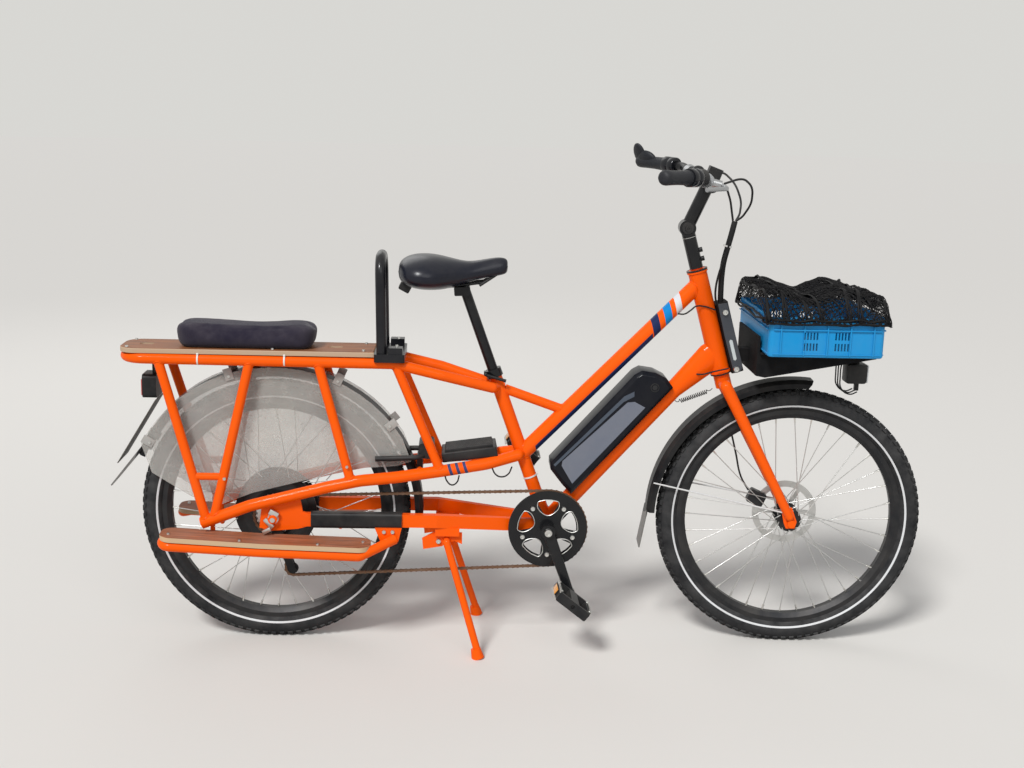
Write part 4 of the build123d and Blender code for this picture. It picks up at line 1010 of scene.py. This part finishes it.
# Pedal cages
# Each pedal has two toothed strips of pressed steel riveted to its long sides, with an amber
# reflector in the middle of each.
amber = finish(
    "amber_lens", (0.80, 0.32, 0.02), 0.2, dust=0.2, patch=60.0, grain=(900.0, 0.4), Coat_Weight=0.6
)
pedal_y = 0.146
pedal_lean = math.radians(38)
tooth_pitch = 0.010
crank_turn = math.radians(20.5)
crank_reach = 0.165
for label, side in (("right", -1), ("left", 1)):
    back, up = side * crank_reach * math.sin(crank_turn), side * crank_reach * math.cos(crank_turn)
    centre = crank_axle - Vector((back, -side * pedal_y, -up))
    at = Matrix.Translation(centre) @ Matrix.Rotation(pedal_lean, 4, "Y")
    bm = bmesh.new()
    for end in (-1, 1):
        block(bm, (end * 0.0495, -0.021, -0.0072), (end * 0.0508, 0.021, 0.0072), 0.0004, at)
    make_piece("reflectors_" + label, bm, "pedal_" + label, "black_plastic", amber)
    bm = bmesh.new()
    for end in (-1, 1):
        in_x, out_x = end * 0.0460, end * 0.0474
        for level in (-1, 1):
            block(bm, (in_x, -0.040, level * 0.0085), (out_x, 0.040, level * 0.0128), 0.0, at)
            for tooth in range(8):
                y = -0.035 + tooth_pitch * tooth
                block(bm, (in_x, y - 0.0022, level * 0.0125), (out_x, y + 0.0022, level * 0.0155), 0.0, at)
    for y in (-0.030, 0.030):
        for x in (-0.043, 0.043):
            bolt(bm, at @ Vector((x, y, 0.0128)), at.to_3x3() @ Vector((0, 0, 1)), 0.0026)
    make_piece("pedal_teeth_" + label, bm, "pedal_" + label, "steel", zinc)

# Head bracket
# Two dark grey side plates bolted along the head tube carry the front rack, so it stays with the
# frame. Each has a long pale slot insert.
plate_grey = finish(
    "bracket_grey", (0.060, 0.066, 0.078), 0.42, dust=0.10, patch=20.0, grain=(900.0, 0.3), Metallic=0.3
)
insert_pale = finish("slot_insert", (0.55, 0.60, 0.60), 0.4, dust=0.2, patch=40.0)
bracket_line = [
    (-0.008, 0.027), (-0.0105, 0.035), (-0.009, 0.044), (-0.002, 0.0505), (0.010, 0.052),
    (0.100, 0.051), (0.166, 0.050), (0.168, 0.027), (0.090, 0.0255),
]
slot_line = [
    (0.024, 0.0335), (0.021, 0.0375), (0.024, 0.0415), (0.072, 0.0415), (0.075, 0.0375), (0.072, 0.0335),
]


def on_head(s, ahead):
    return head_low + head_up * s + head_ahead * ahead


bm = bmesh.new()
pale = bmesh.new()
for side in (-1, 1):
    plate(bm, seen_from_side(on_head, bracket_line), *sorted((side * 0.0261, side * 0.0290)))
    plate(pale, seen_from_side(on_head, slot_line), *sorted((side * 0.0288, side * 0.0296)))
round_off(bm, creases(bm, 1.2), 0.0006, 1)
make_piece("bracket_plates", bm, "frame", "black_paint", plate_grey)
make_piece("slot_inserts", pale, "frame", "black_plastic", insert_pale)

# Headset
# Turned steel caps in black close the bearings at both ends of the head tube. They are pressed
# into it and stay with the frame.
head_len = (head_high - head_low).length
head_turn = facing(head_up, "Y", "Z")
bm = bmesh.new()
for low, high in ((-0.0082, -0.0040), (head_len + 0.0038, head_len + 0.0082)):
    cap_line = [
        (0.0250, low), (0.0260, low + 0.0006), (0.0260, high - 0.0006), (0.0250, high),
        (0.0200, high + 0.0002), (0.0200, low),
    ]
    cap = bmesh.new()
    spin_profile(cap, cap_line, 56, closed=True)
    join(bm, cap, Matrix.Translation(head_low) @ head_turn)
make_piece("headset_caps", bm, "frame", "black_paint", black_paint)

# Cable bundle
# The brake, motor and lamp cables run from the bar in one black sleeve down into the head bracket,
# with a thin cable beside them and a white tie near the top. The bundle is held at both ends, and
# is built once along the bar as it stands turned.
sleeve_black = finish(
    "sleeve_black", (0.007, 0.007, 0.008), 0.6, dust=0.05, patch=40.0, grain=(1500.0, 0.6)
)
sleeve_line = [
    (0.4990, 0.0, 1.0760), (0.4930, 0.0, 1.0460), (0.4860, 0.0, 1.0140), (0.4780, 0.0, 0.9750),
    (0.4755, 0.0, 0.9400), (0.4755, 0.0, 0.9080), (0.4765, 0.0, 0.8740),
]
thin_line = [
    (0.4905, -0.006, 1.030), (0.4800, -0.012, 0.994), (0.4650, -0.016, 0.945), (0.4600, -0.018, 0.905),
    (0.4640, -0.018, 0.872),
]
sleeve_r = 0.0072
thin_r = 0.0026
bm = routed("sleeve", [[steered @ Vector(point) for point in sleeve_line]], sleeve_r, rings=3)
join(bm, routed("thin_cable", [[steered @ Vector(point) for point in thin_line]], thin_r))
bmesh.ops.recalc_face_normals(bm, faces=bm.faces)
tied = bmesh.new()
tie_at = Matrix.Translation(steered @ Vector((0.4866, 0.0, 1.0150)))
tie(tied, 0.0078, tie_at @ Matrix.Rotation(math.radians(-78), 4, "Y"))
mesh = bpy.data.meshes.new("cable_bundle")
tie_mesh = bpy.data.meshes.new("sleeve_tie")
for made, target in ((bm, mesh), (tied, tie_mesh)):
    made.to_mesh(target)
    made.free()
mesh.polygons.foreach_set("use_smooth", [True] * len(mesh.polygons))
bundle = new_object("cable_bundle", mesh, sleeve_black)
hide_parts("cable_sleeve")
for held in (bundle, new_object("sleeve_tie", tie_mesh, nylon)):
    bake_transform(held)

# Saddle
# A moulded foam saddle in smooth glossy dark vinyl over a plastic shell, on two steel rails. A
# black block hangs below its rear edge.
saddle_skin = finish(
    "saddle_skin", (0.0045, 0.006, 0.014), 0.30, dust=0.03, patch=20.0, grain=(260.0, 0.10),
    Coat_Weight=0.15, Coat_Roughness=0.25,
)
saddle_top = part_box("saddle")[1]
# Sections from the rear to the nose: place along, half width, top and underside
saddle_table = [
    (-0.1595, 0.026, 0.052, 0.030),
    (-0.1560, 0.052, 0.062, 0.020),
    (-0.1460, 0.076, 0.071, 0.010),
    (-0.1280, 0.094, 0.0785, 0.003),
    (-0.1040, 0.101, 0.0815, -0.001),
    (-0.0760, 0.097, 0.0810, -0.002),
    (-0.0480, 0.079, 0.0760, 0.000),
    (-0.0200, 0.057, 0.0695, 0.007),
    (0.0100, 0.041, 0.0645, 0.017),
    (0.0400, 0.031, 0.0700, 0.025),
    (0.0700, 0.026, 0.0760, 0.031),
    (0.0880, 0.0235, 0.0770, 0.035),
    (0.0990, 0.019, 0.0745, 0.038),
    (0.1035, 0.011, 0.0690, 0.044),
]
saddle_at = Vector((saddle_top[0] - 0.103, 0.0, saddle_top[2] - 0.0815))
bm = bmesh.new()
rings = []
for x, half_w, top, low in saddle_table:
    made = bmesh.ops.create_circle(bm, cap_ends=False, segments=32, radius=1.0)
    middle, half_t = (top + low) / 2, (top - low) / 2
    for vert in made["verts"]:
        across, up = vert.co.x, vert.co.y
        squarer = 1.0 + 0.10 * abs(math.sin(2 * math.atan2(up, across)))
        drop = 0.35 * half_t * across * across if up > 0 else 0.0
        vert.co = saddle_at + Vector((x, half_w * across * squarer, middle + half_t * up * squarer - drop))
    rings.append(made["verts"])
for one, two in zip(rings, rings[1:]):
    edges = {e for v in one + two for e in v.link_edges if len(e.link_faces) < 2}
    bmesh.ops.bridge_loops(bm, edges=[
        e for e in edges if any(e.verts[0] in ring and e.verts[1] in ring for ring in (one, two))
    ])
for end in (rings[0], rings[-1]):
    bmesh.ops.contextual_create(bm, geom=end)
bmesh.ops.poke(bm, faces=[f for f in bm.faces if len(f.verts) > 8])
saddle_cover = make_piece(
    "saddle_cover", bm, "frame", "saddle_skin", saddle_skin, instead=("saddle",), sharp=80.0
)
smoother = saddle_cover.modifiers.new("smoother", "SUBSURF")
smoother.levels = smoother.render_levels = 2
bm = bmesh.new()
block_lean = Matrix.Rotation(math.radians(28), 4, "Y")
block_at = Matrix.Translation(saddle_at + Vector((-0.142, 0, 0.004))) @ block_lean
block(bm, (-0.014, -0.024, -0.013), (0.014, 0.024, 0.013), 0.003, block_at)
for side in (-1, 1):
    nose = saddle_at + Vector((0.078, side * 0.010, 0.037))
    rod(bm, nose, saddle_at + Vector((0.036, side * 0.021, 0.010)), 0.0035)
make_piece("saddle_underside", bm, "frame", "black_plastic", black_plastic)

# Grips
# Moulded rubber grips with a flat palm rest that widens to the rear at each end of the bar. A
# glossy black twist collar sits inside each, and the levers beside them are cast alloy.
grip_rubber = finish("grip_rubber", (0.012, 0.0135, 0.018), 0.45, dust=0.05, grain=(1500.0, 0.5))
twist_black = finish("twist_black", (0.004, 0.005, 0.008), 0.22, dust=0.03, patch=30.0, Coat_Weight=0.2)
bar_end = head_high + Vector((-0.1288, 0.327, 0.2472))
bar_bend = head_high + Vector((-0.0248, 0.203, 0.2412))
grip_line = [
    (0.0005, -0.012), (0.0080, -0.0118), (0.0130, -0.0095), (0.0162, -0.0045), (0.0170, 0.002),
    (0.0166, 0.012), (0.0160, 0.030), (0.0158, 0.052), (0.0164, 0.074), (0.0172, 0.086),
    (0.0172, 0.088), (0.0140, 0.0885),
]
collar_line = [
    (0.0140, 0.0890), (0.0200, 0.0890), (0.0208, 0.0905), (0.0208, 0.106), (0.0200, 0.108),
    (0.0196, 0.1095), (0.0208, 0.1115), (0.0208, 0.1255), (0.0190, 0.128), (0.0120, 0.128),
]
bm = bmesh.new()
collars = bmesh.new()
for side in (-1, 1):
    start = Vector((bar_end.x, side * bar_end.y, bar_end.z))
    run = Vector((bar_bend.x, side * bar_bend.y, bar_bend.z)) - start
    inward = run.normalized()
    at = Matrix.Translation(start + inward * (0.06 * run.length)) @ facing(inward, "Y", "Z")
    for line, target in ((grip_line, bm), (collar_line, collars)):
        part = bmesh.new()
        spin_profile(part, line, 32)
        join(target, part, at)
wing_run = (bar_bend - bar_end).normalized()
wing_up = Vector((-0.50, 0.0, 0.86))
wing_up = (wing_up - wing_run * wing_up.dot(wing_run)).normalized()
wing_axes = Matrix((wing_run, wing_up, wing_run.cross(wing_up))).transposed().to_4x4()
for along, rise, sizes in ((0.010, 0.020, (0.020, 0.031, 0.0085)), (0.032, 0.010, (0.034, 0.022, 0.0120))):
    wing_at = Matrix.Translation(bar_end + wing_run * along + wing_up * rise) @ wing_axes
    bmesh.ops.create_uvsphere(
        bm, u_segments=28, v_segments=16, radius=1.0, matrix=wing_at @ Matrix.Diagonal((*sizes, 1))
    )
make_piece(
    "grip_pair", bm, "steering", "tyre_rubber", grip_rubber, instead=("grips",), place=steered, sharp=50.0
)
make_piece("grip_collars", collars, "steering", "black_plastic", twist_black, place=steered, sharp=40.0)
wear(finish("lever_alloy", (0.40, 0.41, 0.42), 0.3, dust=0.15, Metallic=0.85), "brake_levers")

# Stem
# A black alloy stem that tilts at a round knuckle, with a bright washer round its quill and a
# cap on each side of the knuckle.
quill_len = 0.112
knuckle = head_low + head_up * head_len + head_up * quill_len
bm = bmesh.new()
for side in (-1, 1):
    centre = knuckle + Vector((0, side * 0.0200, 0))
    cap_face = centre + Vector((0, side * 0.0018, 0))
    rod(bm, centre, cap_face, 0.0150, 0.0138, segments=32)
    bolt(bm, cap_face, (0, side, 0), 0.0075)
make_piece("knuckle_caps", bm, "steering", "black_paint", black_alloy, place=steered)
bm = bmesh.new()
washer_line = [(0.0166, -0.0006), (0.0176, -0.0006), (0.0176, 0.0006), (0.0166, 0.0006)]
spin_profile(bm, washer_line, 40, closed=True)
washer_at = steered @ Matrix.Translation(knuckle - head_up * 0.0235) @ head_turn
make_piece("quill_washer", bm, "steering", "steel", zinc, place=washer_at)

# Lamps
# A square black head lamp with a clear lens under the rack's front edge, behind a bent wire, and
# a tail lamp with a red lens under the deck's end.
lens_clear = finish("lamp_lens", (0.75, 0.77, 0.78), 0.12, dust=0.15, patch=40.0, Coat_Weight=0.8)
lens_red = finish("lamp_red", (0.42, 0.012, 0.010), 0.2, dust=0.2, patch=40.0, Coat_Weight=0.6)
bm = bmesh.new()
block(bm, (0.799, -0.024, 0.682), (0.850, 0.024, 0.732), 0.006)
block(bm, (0.812, -0.010, 0.728), (0.832, 0.010, 0.7675), 0.001)
block(bm, (0.826, -0.007, 0.662), (0.836, 0.007, 0.684), 0.002)
make_piece("headlamp_case", bm, "frame", "black_plastic", black_plastic, instead=("headlamp",))
bm = bmesh.new()
block(bm, (0.8500, -0.021, 0.685), (0.8535, 0.021, 0.729), 0.0012)
make_piece("headlamp_lens", bm, "frame", "rim_alloy", lens_clear)
wire_line = [
    (0.8040, 0.7640), (0.7870, 0.7400), (0.7830, 0.7000),
    (0.7880, 0.6700), (0.8100, 0.6560), (0.8280, 0.6620),
]
wire_r = 0.0018
wires = [[Vector((x, y, z)) for x, z in wire_line] for y in (-0.020, 0.0, 0.020)]
make_piece("lamp_wires", routed("lamp_wires", wires, wire_r), "frame", "black_paint", black_paint)
tail_x, _, tail_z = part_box("rear_lamp")[0]
bm = bmesh.new()
block(bm, (tail_x - 0.004, -0.028, tail_z + 0.005), (tail_x + 0.002, 0.028, tail_z + 0.046), 0.002)
make_piece("tail_lens", bm, "frame", "black_plastic", lens_red)

# Cargo net
# A black elastic net of thin cords knotted in diamonds. It is folded in three above the
# crate and lies in low folds over the rim, hooked down all round.
net_black = finish("net_cord", (0.005, 0.005, 0.006), 0.6, dust=0.02, patch=40.0, Specular_IOR_Level=0.15)
crate_low, crate_high = (Vector(corner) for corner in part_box("crate"))
net_mid_x = (crate_low.x + crate_high.x) / 2
net_len = 0.356
net_wide = 0.384
net_cell = 0.0105
cells_across = 62
wrinkle_high = 0.0050
wave_wide = 0.0022
knot_shift = 0.0016
tuck_deep = 0.022
# Folds from the rear to the front: place along, and height above the rim
fold_table = [
    (-0.180, 0.040), (-0.150, 0.056), (-0.105, 0.053), (-0.050, 0.035), (-0.020, 0.030), (0.020, 0.044),
    (0.055, 0.055), (0.095, 0.050), (0.112, 0.024), (0.130, 0.034), (0.160, 0.038), (0.180, 0.022),
]


def fold_height(x):
    for (x_a, up_a), (x_b, up_b) in zip(fold_table, fold_table[1:]):
        if x <= x_b:
            share = min(1.0, max(0.0, (x - x_a) / (x_b - x_a)))
            share = share * share * (3 - 2 * share)
            return up_a + (up_b - up_a) * share
    return fold_table[-1][1]


def net_place(x, y, sink, shift):
    """Where a point of the flat net lies: in folds over the crate and tucked round its rim."""
    half_x = (crate_high.x - crate_low.x) / 2 - 0.002
    half_y = (crate_high.y - crate_low.y) / 2 - 0.002
    over_x = max(0.0, abs(x) - half_x)
    over_y = max(0.0, abs(y) - half_y)
    inside = min(1.0, max(0.0, (half_y + 0.004 - abs(y)) / 0.055))
    inside = math.sin(inside * math.pi / 2)
    wrinkle = wrinkle_high * math.sin(38 * x + 22 * y + shift) * math.sin(29 * y - 15 * x + 2 * shift)
    up = 0.004 + (fold_height(x) + wrinkle - sink) * inside
    far_x = math.copysign(half_x + 0.25 * min(over_x, 0.012), x) if over_x else x
    far_y = math.copysign(half_y + 0.25 * min(over_y, 0.012), y) if over_y else y
    up -= min(tuck_deep, 0.9 * max(over_x * (1 - inside), over_y)) + (0.5 * over_x * inside)
    far_x += wave_wide * math.sin(60 * y + shift)
    far_y += wave_wide * math.sin(60 * x - shift)
    return Vector((net_mid_x + far_x, far_y, crate_high.z + up))


def lay_net(bm, turn_by, sink, seed, thick):
    """Drapes one layer: flat over the crate with folds, and down past the rim at its edges."""
    chance = random.Random(seed)
    layer = bmesh.new()
    bmesh.ops.create_grid(
        layer, x_segments=cells_across, y_segments=cells_across, size=net_cell * cells_across / 2
    )
    bmesh.ops.rotate(layer, verts=layer.verts, cent=(0, 0, 0), matrix=Matrix.Rotation(turn_by, 3, "Z"))
    for place, normal in (
        ((net_len / 2, 0, 0), (1, 0, 0)), ((-net_len / 2, 0, 0), (-1, 0, 0)),
        ((0, net_wide / 2, 0), (0, 1, 0)), ((0, -net_wide / 2, 0), (0, -1, 0)),
    ):
        bmesh.ops.bisect_plane(
            layer, geom=layer.verts[:] + layer.edges[:] + layer.faces[:], dist=1e-6,
            plane_co=place, plane_no=normal, clear_outer=True,
        )
    shift = chance.uniform(0, math.tau)
    for vert in layer.verts:
        x = vert.co.x + chance.uniform(-knot_shift, knot_shift)
        y = vert.co.y + chance.uniform(-knot_shift, knot_shift)
        vert.co = net_place(x, y, sink, shift)
    bmesh.ops.wireframe(
        layer, faces=layer.faces[:], thickness=thick, offset=0.5, use_replace=True,
        use_boundary=True, use_even_offset=False, use_relative_offset=False, use_crease=False,
    )
    join(bm, layer)


bm = bmesh.new()
for turn, sink, seed, thick in ((41, 0.0, 4, 0.0028), (52, 0.005, 9, 0.0026), (18, 0.011, 15, 0.0026)):
    lay_net(bm, math.radians(turn), sink, seed, thick)
net = make_piece("net_strands", bm, "frame", "net_cord", net_black, instead=("cargo_net",), sharp=60.0)
# Two cords round the rim, and seven that cross the folds
hem_r = 0.0027
hem_half_x = (crate_high.x - crate_low.x) / 2 + 0.002
hem_half_y = (crate_high.y - crate_low.y) / 2 + 0.002
hem_corner = 0.022
hems = []
chance = random.Random(12)
for drop in (0.006, 0.015):
    line = []
    for corner, (sx, sy) in enumerate(((1, 1), (-1, 1), (-1, -1), (1, -1))):
        if corner % 2 == 0:
            steps = [(sx * (hem_half_x - hem_corner) * (1 - 2 * k / 9), sy * hem_half_y) for k in range(10)]
        else:
            steps = [(sx * hem_half_x, sy * (hem_half_y - hem_corner) * (1 - 2 * k / 9)) for k in range(10)]
        for x, y in steps:
            line.append(Vector((
                net_mid_x + x + chance.uniform(-0.0012, 0.0012), y + chance.uniform(-0.0012, 0.0012),
                crate_high.z - drop + chance.uniform(-0.004, 0.004),
            )))
    hems.append(line)
for turn in range(7):
    x = -0.15 + 0.046 * turn + chance.uniform(-0.012, 0.012)
    lean = chance.uniform(-0.05, 0.05)
    fold = [(k / 10, 0.0, -0.002) for k in range(11)] + [(k / 10, 0.004, 0.001) for k in range(10, -1, -1)]
    hems.append([
        net_place(x + lean * share + aside, (share - 0.5) * (net_wide - 0.02), sink, 0.4)
        for share, aside, sink in fold
    ])
bm = routed("net_hem", hems, hem_r, closed=True, rings=1)
net_hem = make_piece("net_hem", bm, "frame", "net_cord", net_black, sharp=60.0)

# Crate ribs
# The stacking crate is moulded in one piece, with a lip round its rim, a line of ribbing below
# it and another round its foot.
bm = bmesh.new()
wall_x0, wall_x1, wall_y = crate_low.x + 0.007, crate_high.x - 0.007, crate_high.y - 0.007
for z, tall, out_by in (
    (crate_high.z - 0.0035, 0.0065, 0.0022),
    (crate_high.z - 0.0300, 0.0028, 0.0045),
    (crate_low.z + 0.008, 0.0026, 0.0020),
):
    low, high = z - tall / 2, z + tall / 2
    for side, wall_x in ((-1, wall_x0), (1, wall_x1)):
        y_in, y_out = side * (wall_y - 0.002), side * (wall_y + out_by)
        block(bm, (wall_x0 + 0.010, y_in, low), (wall_x1 - 0.010, y_out, high), 0.0006)
        x_in, x_out = wall_x - side * 0.002, wall_x + side * out_by
        block(bm, (x_in, 0.010 - wall_y, low), (x_out, wall_y - 0.010, high), 0.0006)
make_piece("crate_ribs", bm, "frame", "crate_blue", crate_blue)

# Steering spring
# A small steel coil hooked between the down tube and the fork, which keeps the front wheel
# straight while the bicycle stands.
spring_a = Vector((0.3912, 0.0, 0.6270))
spring_b = Vector((0.4560, 0.0, 0.6520))
spring_dir = (spring_b - spring_a).normalized()
spring_up = Vector((-spring_dir.z, 0.0, spring_dir.x))
coil_count = 15
coil_r = 0.0048
coil = []
for step in range(coil_count * 8 + 1):
    a = math.tau * step / 8
    centre = spring_a.lerp(spring_b, step / (coil_count * 8))
    coil.append(centre + (spring_up * math.cos(a) + Vector((0, 1, 0)) * math.sin(a)) * coil_r)
hook_a = [
    spring_a + spring_up * coil_r, spring_a - spring_dir * 0.006,
    spring_a - spring_dir * 0.012 + spring_up * 0.006, Vector((0.3800, 0.0, 0.6470)),
]
hook_b = [
    spring_b + spring_up * coil_r, spring_b + spring_dir * 0.006,
    spring_b + spring_dir * 0.016 + spring_up * 0.003,
]
bm = routed("spring_coil", [coil, hook_a, hook_b], 0.0010, rings=1)
make_piece("spring_coil", bm, "frame", "steel", black_alloy, instead=("steering_spring",))

# Welds and tube ends
# The tubes are mitred and welded, and the beads are left smooth under the paint. Each tube runs
# on into its neighbour, so no cut end shows.


def weld_line(start, end, radius, other_start, other_end, other_radius, steps=20):
    """Where the wall of one tube meets the wall of another."""
    run = (end - start).normalized()
    other = (other_end - other_start).normalized()
    side = run.orthogonal().normalized()
    over = run.cross(side)
    line = []
    for step in range(steps):
        a = math.tau * step / steps
        at = start + (side * math.cos(a) + over * math.sin(a)) * radius
        last = 1.0
        for _ in range(600):
            away = at - other_start
            gap = (away - other * away.dot(other)).length
            if gap <= other_radius or gap > last:
                break
            last = gap
            at = at + run * 0.0005
        line.append(at)
    return line


head_r = 0.0230
main_r = 0.0195
seat_top = Vector((-0.0716, 0.0, 0.6813))
seat_r = 0.0165
rack_y, rack_z, rack_r = 0.058, 0.722, 0.013
rail_r, strut_r = 0.0145, 0.0115
brace_low, brace_high = Vector((-0.0468, 0.0, 0.6502)), Vector((0.0812, 0.0, 0.6055))
brace_dir = (brace_high - brace_low).normalized()
down_high = Vector((0.4600, 0.0, 0.7410))
flare_dir = (down_high - Vector((0.3720, 0.0, 0.6560))).normalized()
bm = bmesh.new()
rod(bm, main_end - main_dir * 0.004, main_end + main_dir * 0.020, 0.0196, segments=48)
rod(bm, brace_high - brace_dir * 0.004, brace_high + brace_dir * 0.012, 0.0121, segments=40)
across = Vector((0, 1, 0))
flare_axes = Matrix((across, flare_dir.cross(across), flare_dir)).transposed().to_4x4()
flare_at = Matrix.Translation(down_high + flare_dir * 0.008) @ flare_axes
bmesh.ops.create_cone(
    bm, cap_ends=True, segments=64, radius1=1.0, radius2=0.93, depth=1.0,
    matrix=flare_at @ Matrix.Diagonal((0.0216, 0.0361, 0.020, 1)),
)
for side in (-1, 1):
    for start, stop, radius in (
        ((-0.078, 0.028, 0.658), (-0.0690, 0.014, 0.6560), rack_r),
        ((-0.011, 0.023, 0.487), (-0.0040, 0.011, 0.4885), rail_r),
    ):
        start, stop = (Vector((x, side * y, z)) for x, y, z in (start, stop))
        at = Matrix.Translation(start)
        bmesh.ops.create_uvsphere(bm, u_segments=32, v_segments=16, radius=radius, matrix=at)
        rod(bm, start, stop, radius, radius * 0.9, segments=32)
make_piece("tube_ends", bm, "frame", "orange_paint", orange_paint, sharp=30.0)
brace_mid = brace_low + (brace_high - brace_low) * 0.5
welds = [
    weld_line(main_end - main_dir * 0.03, main_end, main_r, head_low, head_high, head_r),
    weld_line(main_start + main_dir * 0.06, main_start, main_r, seat_low, seat_top, seat_r),
    weld_line(brace_mid, brace_high, 0.0120, main_start, main_end, main_r),
    weld_line(brace_mid, brace_low, 0.0120, seat_low, seat_top, seat_r),
]
# Each strut: its top on the rack tube, its foot on the rail, and the rail's next point
strut_table = [
    ((-0.883, rack_y, rack_z + 0.002), (-0.769, 0.085, 0.325), (-0.664, 0.085, 0.366)),
    ((-0.663, rack_y, rack_z + 0.002), (-0.751, 0.085, 0.333), (-0.664, 0.085, 0.366)),
    ((-0.502, rack_y, rack_z), (-0.419, 0.085, 0.429), (-0.482, 0.085, 0.414)),
    ((-0.315, rack_y, rack_z - 0.003), (-0.202, 0.067, 0.455), (-0.309, 0.078, 0.441)),
]
for side in (-1, 1):
    rack_line = (Vector((-0.967, side * rack_y, rack_z)), Vector((-0.317, side * rack_y, rack_z - 0.003)))
    for strut in strut_table:
        top, foot, near = (Vector((x, side * y, z)) for x, y, z in strut)
        half_way = (top + foot) / 2
        welds.append(weld_line(half_way, top, strut_r, *rack_line, rack_r))
        welds.append(weld_line(half_way, foot, strut_r, near, foot, rail_r))
bead_r = 0.0019
bm = routed("weld_beads", welds, bead_r, closed=True, rings=1)
make_piece("weld_beads", bm, "frame", "orange_paint", orange_paint, sharp=60.0)

# Rear axle and derailleur details
# The hub motor's axle is held by nuts on the dropouts, each with its washer. Below the right one
# the derailleur hangs on a bright forged bracket.
axle_steps = [(0.0785, 0.0810, 0.0135, 32), (0.0810, 0.0915, 0.0105, 6), (0.0915, 0.0960, 0.0060, 20)]
bm = bmesh.new()
for side in (-1, 1):
    for near, far, radius, sides in axle_steps:
        inner, outer = (rear_axle + Vector((0, side * y, 0)) for y in (near, far))
        rod(bm, inner, outer, radius, segments=sides)
for place, size, lean in (
    ((-0.6065, -0.0860, 0.3470), (0.024, 0.009, 0.015), 0.5),
    ((-0.6190, -0.0845, 0.3215), (0.030, 0.008, 0.011), 0.8),
    ((-0.6240, -0.0860, 0.3030), (0.022, 0.010, 0.011), -0.5),
):
    at = Matrix.Translation(place) @ Matrix.Rotation(lean, 4, "Y")
    block(bm, [-s / 2 for s in size], [s / 2 for s in size], 0.002, at)
make_piece("axle_nuts", bm, "frame", "steel", zinc)

# Board screws
# Zinc pan screws that hold the deck to the rack tubes, the footboards to their frames and the
# hoop's clamp to the deck.
screw_table = [
    ("passenger_hoop", -0.3120, 0.052),
    ("deck_board", -0.9560, 0.050), ("deck_board", -0.6100, 0.050), ("deck_board", -0.3920, 0.050),
    ("footboards", -0.8540, 0.125), ("footboards", -0.6820, 0.140),
    ("footboards", -0.4950, 0.140), ("footboards", -0.3880, 0.110),
]
bm = bmesh.new()
for node, x, y in screw_table:
    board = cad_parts[node]
    for side in (-1, 1):
        found, place, normal, face = board.ray_cast(Vector((x, side * y, 1.5)), Vector((0, 0, -1)))
        if found:
            bolt(bm, place, normal, 0.0042)
make_piece("board_screws", bm, "frame", "steel", zinc)

# Cable loops
# Slack loops of the lamp and motor cables hang below the right rail, beside the controller, and
# two thin ones run from the head bracket into the main and down tubes.
loops = [
    [
        (-0.192, -0.070, 0.450), (-0.186, -0.078, 0.434), (-0.174, -0.082, 0.425), (-0.162, -0.078, 0.430),
        (-0.156, -0.070, 0.446),
    ],
    [
        (-0.076, -0.050, 0.462), (-0.066, -0.058, 0.446), (-0.052, -0.060, 0.441), (-0.036, -0.054, 0.446),
        (-0.026, -0.042, 0.462),
    ],
    [
        (0.3720, -0.012, 0.8480), (0.3860, -0.020, 0.8490), (0.4010, -0.025, 0.8600),
        (0.4120, -0.025, 0.8690), (0.4300, -0.0255, 0.8700), (0.4600, -0.0290, 0.8620),
    ],
    [
        (0.4240, -0.0215, 0.7000), (0.4380, -0.027, 0.7010), (0.4600, -0.031, 0.7080),
        (0.4820, -0.033, 0.7140), (0.5000, -0.0330, 0.7180),
    ],
]
loop_cable_r = 0.0019
bm = routed("cable_loops", [[Vector(point) for point in loop] for loop in loops], loop_cable_r)
make_piece("cable_loops", bm, "frame", "black_plastic", sleeve_black)

# Front brake hose
# A thin black hose that runs down behind the left fork leg to the caliper, and turns with the
# bar.
hose = [
    (0.5060, 0.050, 0.6520), (0.5130, 0.053, 0.6000), (0.5320, 0.054, 0.5380), (0.5480, 0.053, 0.4800),
    (0.5640, 0.047, 0.4200), (0.5850, 0.044, 0.3850),
]
hose_r = 0.0024
bm = routed("brake_hose", [[steered @ Vector(point) for point in hose]], hose_r)
make_piece("brake_hose", bm, "steering", "black_plastic", sleeve_black)
